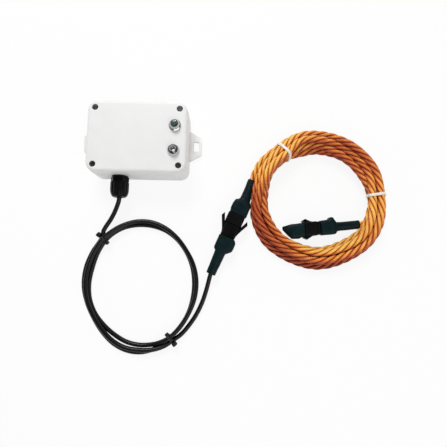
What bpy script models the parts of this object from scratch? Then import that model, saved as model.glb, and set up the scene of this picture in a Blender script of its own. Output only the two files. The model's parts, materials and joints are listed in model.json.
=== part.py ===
"""Water leak sensor: a radio box with a push key and a cable gland, its cable, and a sensing rope.

The box lies on its back. The origin is the centre of the box's back face, +X runs along its long
side, +Y towards the edge away from the gland and +Z out of the lid. Lengths are in metres.
"""

import math

import bmesh
import bpy
from mathutils import Matrix, Vector

# Clearances
GAP = 0.0003
CUT = 0.002

# Box
BOX_LENGTH = 0.0892
BOX_WIDTH = 0.0648
BOX_HEIGHT = 0.032
BOX_CORNER = 0.0085
SPLIT_HEIGHT = 0.0235
WALL = 0.0025
LID_DRAFT = 0.00075
LID_EDGE = 0.0022

# Mounting ears
EAR_REACH = 0.0114
EAR_THICKNESS = 0.0036
EAR_ROOT = 0.029
EAR_TIP = 0.0184
EAR_CORNER = 0.0028
SLOT_WIDTH = 0.0052
SLOT_LENGTH = 0.0096
SLOT_CORNER = 0.0012
SLOT_INSET = 0.0051

# Lid seal
SEAL_WIDTH = 0.0012
SEAL_DEPTH = 0.0024
SEAL_HEIGHT = 0.0012

# Cover screws and their posts
SCREW_INSET_X = 0.0072
SCREW_INSET_Y = 0.0068
SCREW_THREAD = 0.0029
SCREW_HEAD = 0.0049
SCREW_HEAD_HEIGHT = 0.0019
SCREW_LENGTH = 0.020
COUNTERBORE = 0.0056
COUNTERBORE_DEPTH = 0.0026
POST = 0.0075

# Circuit board
BOARD_LENGTH = 0.066
BOARD_WIDTH = 0.043
BOARD_THICKNESS = 0.0016
STANDOFF = 0.006
STANDOFF_HEIGHT = 0.004
BOARD_CORNER = 0.002
BOARD_HOLE_INSET = 0.0035
BOARD_SCREW_THREAD = 0.0022
BOARD_SCREW_HEAD = 0.0042
BOARD_SCREW_LENGTH = 0.005
BOARD_SCREW_HEAD_HEIGHT = 0.0014
RADIO_SIZE = (0.009, 0.014, 0.0024)
RADIO_INSET = 0.0050
RADIO_Y = -0.0010
ANTENNA_INSET = 0.0095
ANTENNA_Y = 0.0105
ANTENNA_DIAMETER = 0.0042
ANTENNA_PITCH = 0.0018
ANTENNA_TURNS = 5
ANTENNA_WIRE = 0.0007

# Cable terminals
TERMINAL_SIZE = (0.0078, 0.0094, 0.0100)
TERMINAL_OFFSET = 0.0204
TERMINAL_EDGE = 0.0002
TERMINAL_PITCH = 0.0050
WIRE_HOLE = 0.0028
WIRE_HOLE_DEPTH = 0.0030
WIRE_HOLE_RISE = 0.0034

# Battery pack
CELL_DIAMETER = 0.0145
CELL_LENGTH = 0.0505
CELL_CAP = 0.0055
CELL_NUB = 0.0014
CELL_EDGE = 0.0007
CELL_PITCH = 0.0156
PACK_EDGE = 0.0005
PACK_CLEARANCE = 0.0004
HOLDER_WALL = 0.0012
HOLDER_FLOOR = 0.0012
HOLDER_WINDOW = 0.0040
CONTACT_THICKNESS = 0.0004
CONTACT_WIDTH = 0.008

# Status light
LIGHT_INSET = 0.0110
LIGHT_Y = 0.0102
BEZEL_DIAMETER = 0.0106
BEZEL_HEIGHT = 0.0050
BEZEL_RIM = 0.0016
BEZEL_EDGE = 0.0005
BEZEL_WALL = 0.0013
SHANK_DIAMETER = 0.008
SHANK_LENGTH = 0.0085
LENS_DIAMETER = 0.0052
LENS_HEIGHT = 0.0024
NUT_FLATS = 0.0105
NUT_THICKNESS = 0.0022

# Push key
KEY_INSET = 0.0117
KEY_Y = -0.0122
KEY_BEZEL_DIAMETER = 0.0108
KEY_BEZEL_HEIGHT = 0.0030
KEY_BEZEL_LIP = 0.0012
KEY_BEZEL_EDGE = 0.0004
KEY_BEZEL_SLOPE = 0.0022
KEY_BODY_LENGTH = 0.0120
KEY_PLUNGER_DIAMETER = 0.0058
KEY_PLUNGER_HEIGHT = 0.0036
KEY_FLANGE_DIAMETER = 0.0065
KEY_FLANGE_THICKNESS = 0.0010
KEY_TRAVEL = 0.0012
KEY_SPRING_ROOM = 0.0040
KEY_POCKET_DEPTH = KEY_FLANGE_THICKNESS + KEY_TRAVEL + KEY_SPRING_ROOM
SWITCH_HEIGHT = 0.0035
SWITCH_PIN = (0.0012, 0.0004, 0.0040)
SWITCH_PIN_OFFSET = 0.0015
SPRING_WIRE = 0.0005
SPRING_DIAMETER = 0.0040
SPRING_TURNS = 3.5

# Cable gland
GLAND_INSET = 0.0272
GLAND_HEIGHT = 0.0145
GLAND_THREAD = 0.0122
GLAND_THREAD_LENGTH = 0.0076
GLAND_FLATS = 0.0145
GLAND_HEX_LENGTH = 0.0044
GLAND_BORE = 0.0078
GLAND_CAP_DIAMETER = 0.0166
GLAND_CAP_LENGTH = 0.0136
GLAND_CAP_STRAIGHT = 0.0064
GLAND_CAP_TIP = 0.0098
GLAND_CAP_RIBS = 12
GLAND_RIB_DEPTH = 0.0006
GLAND_NECK = 0.0110
GLAND_NECK_LENGTH = 0.0075
GLAND_WASHER = 0.0008
GLAND_MOUTH_SPACE = 0.0011
LOCKNUT_FLATS = 0.0175
LOCKNUT_LENGTH = 0.0036

# Cable
CABLE_DIAMETER = 0.0042
CABLE_STEP = 0.0105
CABLE_END_STRAIGHT = 0.0020
WIRE_DIAMETER = 0.0012
CORE_BEND = 0.0025

# Cable route from the gland to its coil, and from the coil to the connector
CABLE_LEAD = (
    (-0.0200, -0.0605, 0.0116),
    (-0.0232, -0.0664, 0.0086),
    (-0.0268, -0.0722, 0.0066),
    (-0.0302, -0.0770, 0.0058),
    (-0.0330, -0.0810, 0.0056),
)
CABLE_TAIL = (
    (0.0457, -0.1716, 0.0030),
    (0.0502, -0.1648, 0.0024),
    (0.0555, -0.1562, 0.0024),
    (0.0599, -0.1462, 0.0028),
    (0.0632, -0.1364, 0.0042),
)

# Cable coil: an oval line, and at each angle round it how far the outermost and innermost
# strands lie in from that line, and the heights of the bundle's underside and top
COIL_CENTRE = (0.0022, -0.1325)
COIL_HALF_X = 0.0516
COIL_HALF_Y = 0.0596
COIL_STEPS = 40
COIL_BUNDLE = (
    (0.0, -0.0004, 0.0018, 0.0002, 0.0082),
    (43.0, 0.0007, 0.0018, 0.0002, 0.0082),
    (90.0, -0.0003, 0.0030, 0.0002, 0.0078),
    (118.0, 0.0002, 0.0025, 0.0004, 0.0086),
    (126.0, -0.0010, 0.0027, 0.0013, 0.0098),
    (141.0, -0.0014, 0.0028, 0.0013, 0.0098),
    (152.0, -0.0008, 0.0042, 0.0004, 0.0086),
    (185.0, 0.0003, 0.0042, 0.0002, 0.0080),
    (215.0, 0.0029, 0.0066, 0.0002, 0.0080),
    (238.0, 0.0022, 0.0084, 0.0002, 0.0078),
    (265.0, 0.0001, 0.0070, 0.0002, 0.0078),
    (290.0, 0.0001, 0.0040, 0.0004, 0.0086),
    (300.0, 0.0000, 0.0034, 0.0013, 0.0098),
    (314.0, 0.0000, 0.0034, 0.0013, 0.0098),
    (325.0, 0.0012, 0.0028, 0.0004, 0.0086),
    (345.0, 0.0002, 0.0019, 0.0002, 0.0082),
    (360.0, -0.0004, 0.0018, 0.0002, 0.0082),
)
TIE_ANGLES = (133.5, 307.0)
TIE_THICKNESS = 0.0008
TIE_WIDTH = 0.0026
TIE_HEAD = 0.0044

# Connector between cable and rope, in distances along its own axis from the cable's end
CONNECTOR_START = (0.0672, -0.1200)
CONNECTOR_ANGLE = 66.9
CONNECTOR_HEIGHT = 0.0062
SLEEVE_DIAMETER = 0.0088
SLEEVE_LENGTH = 0.0215
COLLAR_WIDTH = 0.0148
COLLAR_THICKNESS = 0.0116
COLLAR_START = 0.0250
COLLAR_END = 0.0368
COLLAR_LUMP = (0.0095, 0.0040, 0.0070)
COLLAR_LUMP_AT = 0.0302
PLUG_WIDTH = 0.0140
PLUG_THICKNESS = 0.0104
PLUG_LENGTH = 0.0125
PLUG_NOSE = 0.0085
SOCKET_WIDTH = 0.0162
SOCKET_THICKNESS = 0.0112
SOCKET_WALL = 0.0012
LATCH_ROOT = 0.0395
LATCH_TIP = 0.0575
LATCH_SPREAD = 0.0130
LATCH_WIDTH = 0.0064
LATCH_SINK = 0.0015
LATCH_RISE = 0.0040
LATCH_STEP = 0.0006
LATCH_BEVEL = 0.0036
LATCH_BLUNT = 0.0018
ROPE_COLLAR_START = 0.0603
ROPE_COLLAR_END = 0.0727
ROPE_COLLAR_WIDTH = 0.0164
ROPE_SLEEVE_START = 0.0757
ROPE_SLEEVE_END = 0.0948
EDGE_CORNER = 0.0016
CLIP_EDGE = 0.0005

# Rope coil
RING_CENTRE = (0.1655, -0.0487)
RING_OUTER = 0.0660
RING_INNER = 0.0440
RING_BASE = 0.0014
RING_HEIGHT = 0.0225
RING_CORNER = 0.0060
RING_FOOT = 0.0025
RING_FOOT_EDGE = 0.0020
RING_FOOT_HEIGHT = 0.0085
RING_FOOT_SLOPE = 0.0035
COIL_TIE_ANGLES = (125.5, 4.0)
COIL_TIE_THICKNESS = 0.0010
COIL_TIE_WIDTH = 0.0026

# Connector on the rope's far end, in distances along its own axis from the rope's end
END_START = (0.2040, -0.0720)
END_ANGLE = 186.3
END_HEIGHT = 0.0066
END_SLEEVE_DIAMETER = 0.0078
END_SLEEVE_LENGTH = 0.0205
END_COLLAR_START = 0.0226
END_COLLAR_END = 0.0362
END_WIDTH = 0.0136
END_THICKNESS = 0.0112
END_SOCKET_SHARE = 0.90
END_NOSE = 0.0022
END_PLUG_START = 0.0397
END_PLUG_LENGTH = 0.0116
END_LATCH_ROOT = 0.0088
END_LATCH_REACH = 0.0020
END_LATCH_SPREAD = 0.0096
END_LUMP = (0.0050, 0.0036, 0.0050)
END_LUMP_AT = 0.0258
END_CAP_LENGTH = 0.0195

# Places that follow from the sizes above
FLOOR = WALL
ROOF = BOX_HEIGHT - WALL
LID_BASE = SPLIT_HEIGHT + GAP
EAR_SPAN = BOX_LENGTH + 2 * EAR_REACH
SLOT_SPACING = EAR_SPAN - 2 * SLOT_INSET
SCREW_SPACING_X = BOX_LENGTH - 2 * SCREW_INSET_X
SCREW_SPACING_Y = BOX_WIDTH - 2 * SCREW_INSET_Y
LIGHT_X = BOX_LENGTH / 2 - LIGHT_INSET
KEY_X = BOX_LENGTH / 2 - KEY_INSET
GLAND_X = -BOX_LENGTH / 2 + GLAND_INSET
BOARD_BASE = FLOOR + STANDOFF_HEIGHT + GAP
BOARD_TOP = BOARD_BASE + BOARD_THICKNESS
BOARD_SCREW_SPACING_X = BOARD_LENGTH - 2 * BOARD_HOLE_INSET
BOARD_SCREW_SPACING_Y = BOARD_WIDTH - 2 * BOARD_HOLE_INSET
TERMINAL_X = GLAND_X + TERMINAL_OFFSET
TERMINAL_Y = -BOARD_WIDTH / 2 + TERMINAL_EDGE + TERMINAL_SIZE[1] / 2
WIRE_HOLE_HEIGHT = BOARD_TOP + WIRE_HOLE_RISE
CELL_ROOM_LENGTH = CELL_LENGTH + 2 * (CONTACT_THICKNESS + 2 * GAP)
CELL_ROOM_WIDTH = CELL_DIAMETER + CELL_PITCH + 2 * GAP
CELL_HEIGHT = BOARD_TOP + GAP + HOLDER_FLOOR + GAP + CELL_DIAMETER / 2
PACK_X = -BOARD_LENGTH / 2 + PACK_EDGE + HOLDER_WALL + CELL_ROOM_LENGTH / 2
TERMINAL_SIDE = TERMINAL_Y + TERMINAL_SIZE[1] / 2
PACK_Y = TERMINAL_SIDE + PACK_CLEARANCE + HOLDER_WALL + CELL_ROOM_WIDTH / 2
WALL_FACE = -BOX_WIDTH / 2

parts = None
cutters = None


def collection(name):
    made = bpy.data.collections.new(name)
    bpy.context.scene.collection.children.link(made)
    return made


def material(name, colour, roughness, metallic=0.0, transmission=0.0):
    """One Principled material for one piece."""
    made = bpy.data.materials.new(name)
    made.use_nodes = True
    shader = made.node_tree.nodes["Principled BSDF"]
    shader.inputs["Base Color"].default_value = (*colour, 1.0)
    shader.inputs["Roughness"].default_value = roughness
    shader.inputs["Metallic"].default_value = metallic
    shader.inputs["Transmission Weight"].default_value = transmission
    made.diffuse_color = (*colour, 1.0)
    return made


WHITE_ABS = ((0.80, 0.80, 0.78), 0.42)
BLACK_NYLON = ((0.012, 0.012, 0.013), 0.38)
BLACK_RUBBER = ((0.02, 0.02, 0.021), 0.70)
BLACK_PVC = ((0.010, 0.010, 0.011), 0.35)
RED_PVC = ((0.5, 0.03, 0.02), 0.40)
SHRINK = ((0.030, 0.040, 0.042), 0.45)
CHROME = ((0.75, 0.76, 0.78), 0.12, 1.0)
STEEL = ((0.45, 0.45, 0.46), 0.35, 1.0)
BRASS = ((0.72, 0.55, 0.25), 0.30, 1.0)
GREEN_LENS = ((0.01, 0.12, 0.07), 0.10)
BOARD_GREEN = ((0.01, 0.13, 0.06), 0.45)
ROPE_ORANGE = ((0.62, 0.24, 0.05), 0.65)
WHITE_NYLON = ((0.85, 0.83, 0.80), 0.40)
CELL_WRAP = ((0.55, 0.57, 0.60), 0.35)


def add_object(name, mesh, finish=None):
    """A mesh as a named object: a piece if it has a finish, otherwise a cutter."""
    made = bpy.data.objects.new(name, mesh)
    if finish is None:
        cutters.objects.link(made)
        made.display_type = "WIRE"
        made.hide_render = True
    else:
        parts.objects.link(made)
        mesh.materials.clear()
        mesh.materials.append(material(name, *finish))
    return made


def smooth(piece, angle=32.0):
    piece.data.shade_smooth()
    piece.data.set_sharp_from_angle(angle=math.radians(angle))
    return piece


def finished_mesh(piece, weld=False):
    """The piece's shape with its modifiers, as a mesh; a curve's loose caps are welded on."""
    bpy.context.view_layer.update()
    shape = piece.evaluated_get(bpy.context.evaluated_depsgraph_get())
    mesh = bpy.data.meshes.new_from_object(shape)
    mesh.transform(piece.matrix_world)
    if weld:
        work = bmesh.new()
        work.from_mesh(mesh)
        bmesh.ops.remove_doubles(work, verts=work.verts, dist=1e-6)
        bmesh.ops.recalc_face_normals(work, faces=work.faces)
        work.to_mesh(mesh)
        work.free()
    return mesh


def settled(piece, weld=False):
    """Replaces the piece's mesh by its finished shape, in place."""
    mesh = finished_mesh(piece, weld)
    piece.modifiers.clear()
    piece.matrix_world = Matrix.Identity(4)
    piece.data = mesh
    return piece


def boolean(piece, others, operation):
    """Cuts or joins solids, leaves the piece with the result and removes the others."""
    for other in others:
        change = piece.modifiers.new("shape", "BOOLEAN")
        change.operation = operation
        change.solver = "EXACT"
        change.object = other
        settled(piece)
        bpy.data.objects.remove(other)
    return piece


def cut(piece, *others):
    return boolean(piece, others, "DIFFERENCE")


def join(piece, *others):
    return boolean(piece, others, "UNION")


def mesh_of(work, name):
    bmesh.ops.recalc_face_normals(work, faces=work.faces)
    mesh = bpy.data.meshes.new(name)
    work.to_mesh(mesh)
    work.free()
    return mesh


def block(name, size, centre, corner=0.0, segments=4, axis="Z", edge=0.0, draft=0.0, finish=None):
    """A box with rounded corners round one axis, an optional draft and a rounded upper edge."""
    work = bmesh.new()
    bmesh.ops.create_cube(work, size=1.0)
    bmesh.ops.scale(work, vec=Vector(size), verts=work.verts)
    if draft:
        for vertex in work.verts:
            if vertex.co.z > 0:
                vertex.co.x -= math.copysign(draft, vertex.co.x)
                vertex.co.y -= math.copysign(draft, vertex.co.y)
    index = "XYZ".index(axis)
    if corner:
        along = []
        for side in work.edges:
            run = (side.verts[0].co - side.verts[1].co).normalized()
            if abs(run[index]) > 0.9:
                along.append(side)
        bmesh.ops.bevel(
            work, geom=along, offset=corner, segments=segments, profile=0.5, affect="EDGES"
        )
    if edge:
        top = max(vertex.co.z for vertex in work.verts) - 1e-7
        rim = [side for side in work.edges if min(v.co.z for v in side.verts) > top]
        bmesh.ops.bevel(work, geom=rim, offset=edge, segments=3, profile=0.5, affect="EDGES")
    bmesh.ops.translate(work, vec=Vector(centre), verts=work.verts)
    return add_object(name, mesh_of(work, name), finish)


def rod(name, diameter, start, end, sides=24, end_diameter=None, finish=None):
    """A straight cylinder or cone between two points."""
    start, end = Vector(start), Vector(end)
    run = end - start
    work = bmesh.new()
    bmesh.ops.create_cone(
        work,
        cap_ends=True,
        segments=sides,
        radius1=diameter / 2,
        radius2=(end_diameter or diameter) / 2,
        depth=run.length,
    )
    turn = Vector((0, 0, 1)).rotation_difference(run).to_matrix().to_4x4()
    bmesh.ops.transform(
        work, matrix=Matrix.Translation((start + end) / 2) @ turn, verts=work.verts
    )
    return smooth(add_object(name, mesh_of(work, name), finish))


def turned(name, profile, place, axis=(0, 0, 1), steps=32, finish=None):
    """A profile of (radius, height) points, spun round an axis through a place.

    The profile runs down the outer side and back up the inner side or the axis.
    """
    mesh = bpy.data.meshes.new(name)
    points = [(radius, 0.0, height) for radius, height in profile]
    links = [(i, i + 1) for i in range(len(points) - 1)]
    if profile[0][0] > 0 and profile[-1][0] > 0:
        links.append((len(points) - 1, 0))
    mesh.from_pydata(points, links, [])
    made = add_object(name, mesh, finish)
    spin = made.modifiers.new("spin", "SCREW")
    spin.axis = "Z"
    spin.steps = steps
    spin.render_steps = steps
    spin.use_merge_vertices = True
    spin.merge_threshold = 0.00001
    spin.use_normal_calculate = True
    turn = Vector((0, 0, 1)).rotation_difference(Vector(axis)).to_matrix().to_4x4()
    made.matrix_world = Matrix.Translation(Vector(place)) @ turn
    return smooth(settled(made, weld=True))


def hex_bar(name, flats, start, end, finish=None):
    """A six-sided bar with two flats level, between two points along Y or Z."""
    start, end = Vector(start), Vector(end)
    run = end - start
    work = bmesh.new()
    corner = flats / math.sqrt(3)
    bmesh.ops.create_cone(
        work, cap_ends=True, segments=6, radius1=corner, radius2=corner, depth=run.length
    )
    turn = Vector((0, 0, 1)).rotation_difference(run).to_matrix().to_4x4()
    level = Matrix.Rotation(math.radians(30.0), 4, "Z")
    bmesh.ops.transform(
        work, matrix=Matrix.Translation((start + end) / 2) @ turn @ level, verts=work.verts
    )
    return add_object(name, mesh_of(work, name), finish)


def plate(name, outline, thickness, base, finish=None):
    """A flat outline with its thickness, standing on a height."""
    curve = bpy.data.curves.new(name, "CURVE")
    curve.dimensions = "2D"
    curve.fill_mode = "BOTH"
    curve.extrude = thickness / 2
    line = curve.splines.new("POLY")
    line.points.add(len(outline) - 1)
    for point, (x, y) in zip(line.points, outline):
        point.co = (x, y, 0.0, 1.0)
    line.use_cyclic_u = True
    drawn = bpy.data.objects.new(name + "_outline", curve)
    cutters.objects.link(drawn)
    drawn.location.z = base + thickness / 2
    bpy.context.view_layer.update()
    mesh = finished_mesh(drawn, weld=True)
    bpy.data.objects.remove(drawn)
    return add_object(name, mesh, finish)


def tube(name, points, diameter, resolution=2, finish=None):
    """A round tube with closed ends through a row of points."""
    curve = bpy.data.curves.new(name, "CURVE")
    curve.dimensions = "3D"
    curve.bevel_depth = diameter / 2
    curve.bevel_resolution = resolution
    curve.use_fill_caps = True
    line = curve.splines.new("POLY")
    line.points.add(len(points) - 1)
    for point, place in zip(line.points, points):
        point.co = (*place, 1.0)
    drawn = bpy.data.objects.new(name + "_line", curve)
    cutters.objects.link(drawn)
    bpy.context.view_layer.update()
    mesh = finished_mesh(drawn, weld=True)
    bpy.data.objects.remove(drawn)
    return smooth(add_object(name, mesh, finish), 50.0)


def rounded_section(half_width, half_height, corner, count=5):
    """Points round a rounded rectangle, anticlockwise from its right side."""
    corner = min(corner, half_width * 0.999, half_height * 0.999)
    points = []
    for quarter, (sx, sy) in enumerate(((1, 1), (-1, 1), (-1, -1), (1, -1))):
        for i in range(count):
            angle = math.radians(90.0 * quarter + 90.0 * i / (count - 1))
            points.append(
                (
                    sx * (half_width - corner) + corner * math.cos(angle),
                    sy * (half_height - corner) + corner * math.sin(angle),
                )
            )
    return points


def skin(work, rings, closed=False):
    """Faces between rings of vertices, with flat ends unless the rings run round to the first."""
    following = rings[1:] + rings[:1] if closed else rings[1:]
    for near, far in zip(rings, following):
        for i in range(len(near)):
            k = (i + 1) % len(near)
            work.faces.new((near[i], near[k], far[k], far[i]))
    if not closed:
        work.faces.new(list(reversed(rings[0])))
        work.faces.new(rings[-1])


def loft(name, sections, placing, finish=None):
    """A closed skin through sections of (distance, width, thickness, corner) along local X."""
    work = bmesh.new()
    rings = []
    for distance, width, thickness, corner in sections:
        ring = [
            work.verts.new(placing @ Vector((distance, y, z)))
            for y, z in rounded_section(width / 2, thickness / 2, corner)
        ]
        rings.append(ring)
    skin(work, rings)
    return smooth(add_object(name, mesh_of(work, name), finish), 40.0)


def smooth_line(points, step):
    """Points about one step apart on a smooth curve through the given ones."""
    points = [Vector(p) for p in points]
    ends = [2 * points[0] - points[1], 2 * points[-1] - points[-2]]
    points = [ends[0], *points, ends[1]]
    fine = []
    for a, b, c, d in zip(points, points[1:], points[2:], points[3:]):
        pieces = 12
        for i in range(pieces):
            t = i / pieces
            fine.append(
                0.5
                * (
                    2 * b
                    + (c - a) * t
                    + (2 * a - 5 * b + 4 * c - d) * t * t
                    + (3 * b - a - 3 * c + d) * t * t * t
                )
            )
    fine.append(points[-2])
    lengths = [0.0]
    for a, b in zip(fine, fine[1:]):
        lengths.append(lengths[-1] + (b - a).length)
    count = max(2, round(lengths[-1] / step) + 1)
    spaced = []
    k = 0
    for i in range(count):
        want = lengths[-1] * i / (count - 1)
        while k < len(lengths) - 2 and lengths[k + 1] < want:
            k += 1
        share = (want - lengths[k]) / (lengths[k + 1] - lengths[k])
        spaced.append(fine[k].lerp(fine[k + 1], share))
    return spaced


def between(table, at):
    """A row of values at a position, easing from one row of the table to the next."""
    for low, high in zip(table, table[1:]):
        if at <= high[0]:
            share = (at - low[0]) / (high[0] - low[0])
            share = share * share * (3 - 2 * share)
            return [a + (b - a) * share for a, b in zip(low[1:], high[1:])]
    return table[-1][1:]


def oval_point(angle, inward, height):
    """A point on the cable's oval, moved in from its outer line."""
    turn = math.radians(angle)
    return Vector(
        (
            COIL_CENTRE[0] + (COIL_HALF_X - inward) * math.cos(turn),
            COIL_CENTRE[1] + (COIL_HALF_Y - inward) * math.sin(turn),
            height,
        )
    )


def corners(spacing_x, spacing_y):
    """The four corners of a screw pattern, anticlockwise from the lower left."""
    return [
        (sx * spacing_x / 2, sy * spacing_y / 2) for sx, sy in ((-1, -1), (1, -1), (1, 1), (-1, 1))
    ]


def board_screw_places():
    """The three screwed corners of the board; the fourth, under the battery, only rests."""
    return corners(BOARD_SCREW_SPACING_X, BOARD_SCREW_SPACING_Y)[:3]


def ear_outline(side):
    """One ear, from inside the box's wall to its rounded tip."""
    root = BOX_LENGTH / 2
    tip = EAR_SPAN / 2
    slope = math.degrees(math.atan2((EAR_ROOT - EAR_TIP) / 2, tip - root))
    lower = [(root - WALL, -EAR_ROOT / 2), (root, -EAR_ROOT / 2)]
    for i in range(5):
        angle = math.radians((slope - 90.0) * (1 - i / 4))
        x = tip - EAR_CORNER + EAR_CORNER * math.cos(angle)
        y = -EAR_TIP / 2 + EAR_CORNER + EAR_CORNER * math.sin(angle)
        lower.append((x, y))
    upper = [(x, -y) for x, y in reversed(lower)]
    return [(side * x, y) for x, y in lower + upper]


def make_base_shell():
    """Tray with ears, screw posts, board standoffs, seal rebate and the gland's hole."""
    size = (BOX_LENGTH, BOX_WIDTH, SPLIT_HEIGHT)
    shell = block(
        "base_shell", size, (0, 0, SPLIT_HEIGHT / 2), BOX_CORNER, segments=5, finish=WHITE_ABS
    )
    room = (BOX_LENGTH - 2 * WALL, BOX_WIDTH - 2 * WALL, SPLIT_HEIGHT)
    cut(shell, block("room", room, (0, 0, FLOOR + SPLIT_HEIGHT / 2), BOX_CORNER - WALL))
    rebate = (room[0] + 2 * SEAL_WIDTH, room[1] + 2 * SEAL_WIDTH, 2 * SEAL_DEPTH)
    cut(shell, block("rebate", rebate, (0, 0, SPLIT_HEIGHT), BOX_CORNER - WALL + SEAL_WIDTH))
    for side in (-1, 1):
        join(shell, plate("ear", ear_outline(side), EAR_THICKNESS, 0.0))
        slot = (SLOT_WIDTH, SLOT_LENGTH, 4 * EAR_THICKNESS)
        cut(shell, block("slot", slot, (side * SLOT_SPACING / 2, 0, 0), SLOT_CORNER, 3))
    for x, y in corners(SCREW_SPACING_X, SCREW_SPACING_Y):
        join(shell, rod("post", POST, (x, y, FLOOR / 2), (x, y, SPLIT_HEIGHT), sides=12))
        low = ROOF - SCREW_LENGTH
        hole = SCREW_THREAD + 2 * GAP
        cut(shell, rod("pilot", hole, (x, y, low), (x, y, SPLIT_HEIGHT + CUT), sides=10))
    for x, y in corners(BOARD_SCREW_SPACING_X, BOARD_SCREW_SPACING_Y):
        top = FLOOR + STANDOFF_HEIGHT
        join(shell, rod("standoff", STANDOFF, (x, y, FLOOR / 2), (x, y, top), sides=10))
        if (x, y) in board_screw_places():
            hole = BOARD_SCREW_THREAD + 2 * GAP
            low = top - BOARD_SCREW_LENGTH + BOARD_THICKNESS
            cut(shell, rod("pilot", hole, (x, y, low), (x, y, top + CUT), sides=10))
    across = (GLAND_X, WALL_FACE - CUT, GLAND_HEIGHT), (GLAND_X, WALL_FACE + WALL + CUT, GLAND_HEIGHT)
    cut(shell, rod("gland_hole", GLAND_THREAD + 2 * GAP, *across, sides=28))
    return smooth(shell)


def make_lid():
    """Cover with a lip for the seal, screw bosses, counterbores and the two round holes."""
    height = BOX_HEIGHT - LID_BASE
    middle = LID_BASE + height / 2
    lid = block(
        "lid",
        (BOX_LENGTH, BOX_WIDTH, height),
        (0, 0, middle),
        BOX_CORNER,
        segments=5,
        edge=LID_EDGE,
        draft=LID_DRAFT,
        finish=WHITE_ABS,
    )
    room = (BOX_LENGTH - 2 * WALL, BOX_WIDTH - 2 * WALL)
    depth = ROOF - LID_BASE
    cut(lid, block("room", (*room, 2 * depth), (0, 0, LID_BASE), BOX_CORNER - WALL))
    lip_base = SPLIT_HEIGHT - SEAL_DEPTH + GAP + SEAL_HEIGHT + GAP
    lip_top = LID_BASE + CUT / 4
    lip_size = (room[0] + 2 * SEAL_WIDTH - 2 * GAP, room[1] + 2 * SEAL_WIDTH - 2 * GAP)
    lip_middle = (lip_base + lip_top) / 2
    lip = block(
        "lip",
        (*lip_size, lip_top - lip_base),
        (0, 0, lip_middle),
        BOX_CORNER - WALL + SEAL_WIDTH - GAP,
    )
    cut(lip, block("lip_room", (*room, 2 * SEAL_DEPTH), (0, 0, lip_middle), BOX_CORNER - WALL))
    join(lid, lip)
    for x, y in corners(SCREW_SPACING_X, SCREW_SPACING_Y):
        join(lid, rod("boss", POST, (x, y, LID_BASE), (x, y, ROOF + WALL / 2), sides=12))
        ends = (x, y, FLOOR), (x, y, BOX_HEIGHT + CUT)
        cut(lid, rod("hole", SCREW_THREAD + 2 * GAP, *ends, sides=10))
        floor = BOX_HEIGHT - COUNTERBORE_DEPTH
        cut(lid, rod("counterbore", COUNTERBORE, (x, y, floor), (x, y, BOX_HEIGHT + CUT), 18))
    for x, y in ((LIGHT_X, LIGHT_Y), (KEY_X, KEY_Y)):
        cut(lid, rod("hole", SHANK_DIAMETER + 2 * GAP, (x, y, ROOF - CUT), (x, y, BOX_HEIGHT + CUT)))
    return smooth(lid)


def make_gasket():
    """Seal ring in the tray's rebate, under the lid's lip."""
    inner = (BOX_LENGTH - 2 * WALL, BOX_WIDTH - 2 * WALL)
    outer = (inner[0] + 2 * SEAL_WIDTH - 2 * GAP, inner[1] + 2 * SEAL_WIDTH - 2 * GAP)
    base = SPLIT_HEIGHT - SEAL_DEPTH + GAP
    middle = (0, 0, base + SEAL_HEIGHT / 2)
    corner = BOX_CORNER - WALL
    ring = block(
        "lid_gasket", (*outer, SEAL_HEIGHT), middle, corner + SEAL_WIDTH - GAP, finish=BLACK_RUBBER
    )
    cut(ring, block("inside", (*inner, 2 * SEAL_HEIGHT), middle, corner))
    return smooth(ring)


def make_screw(name, place, thread, head, head_height, length, seat, finish=STEEL):
    """A pan-head screw with a cross recess, standing in its hole with its head on a seat."""
    x, y = place
    profile = [
        (0.0, seat + head_height),
        (head * 0.36, seat + head_height),
        (head / 2, seat + head_height * 0.50),
        (head / 2, seat),
        (thread / 2, seat),
        (thread / 2, seat - length * 0.88),
        (thread * 0.18, seat - length),
        (0.0, seat - length),
    ]
    screw = turned(name, profile, (x, y, 0), steps=10, finish=finish)
    arm = (head * 0.55, head * 0.14, head_height)
    for size in (arm, (arm[1], arm[0], arm[2])):
        cut(screw, block("recess", size, (x, y, seat + head_height * 1.1)))
    return smooth(screw)


def make_screws():
    """Cover screws in the lid's counterbores and board screws on the board."""
    seat = BOX_HEIGHT - COUNTERBORE_DEPTH + GAP
    low = ROOF - SCREW_LENGTH + 2 * GAP
    for i, place in enumerate(corners(SCREW_SPACING_X, SCREW_SPACING_Y)):
        name = f"cover_screw_{i + 1}"
        make_screw(name, place, SCREW_THREAD, SCREW_HEAD, SCREW_HEAD_HEIGHT, seat - low, seat)
    seat = BOARD_TOP + GAP
    low = FLOOR + STANDOFF_HEIGHT - BOARD_SCREW_LENGTH + BOARD_THICKNESS + 2 * GAP
    for i, place in enumerate(board_screw_places()):
        name = f"board_screw_{i + 1}"
        sizes = BOARD_SCREW_THREAD, BOARD_SCREW_HEAD, BOARD_SCREW_HEAD_HEIGHT
        make_screw(name, place, *sizes, seat - low, seat)


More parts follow.
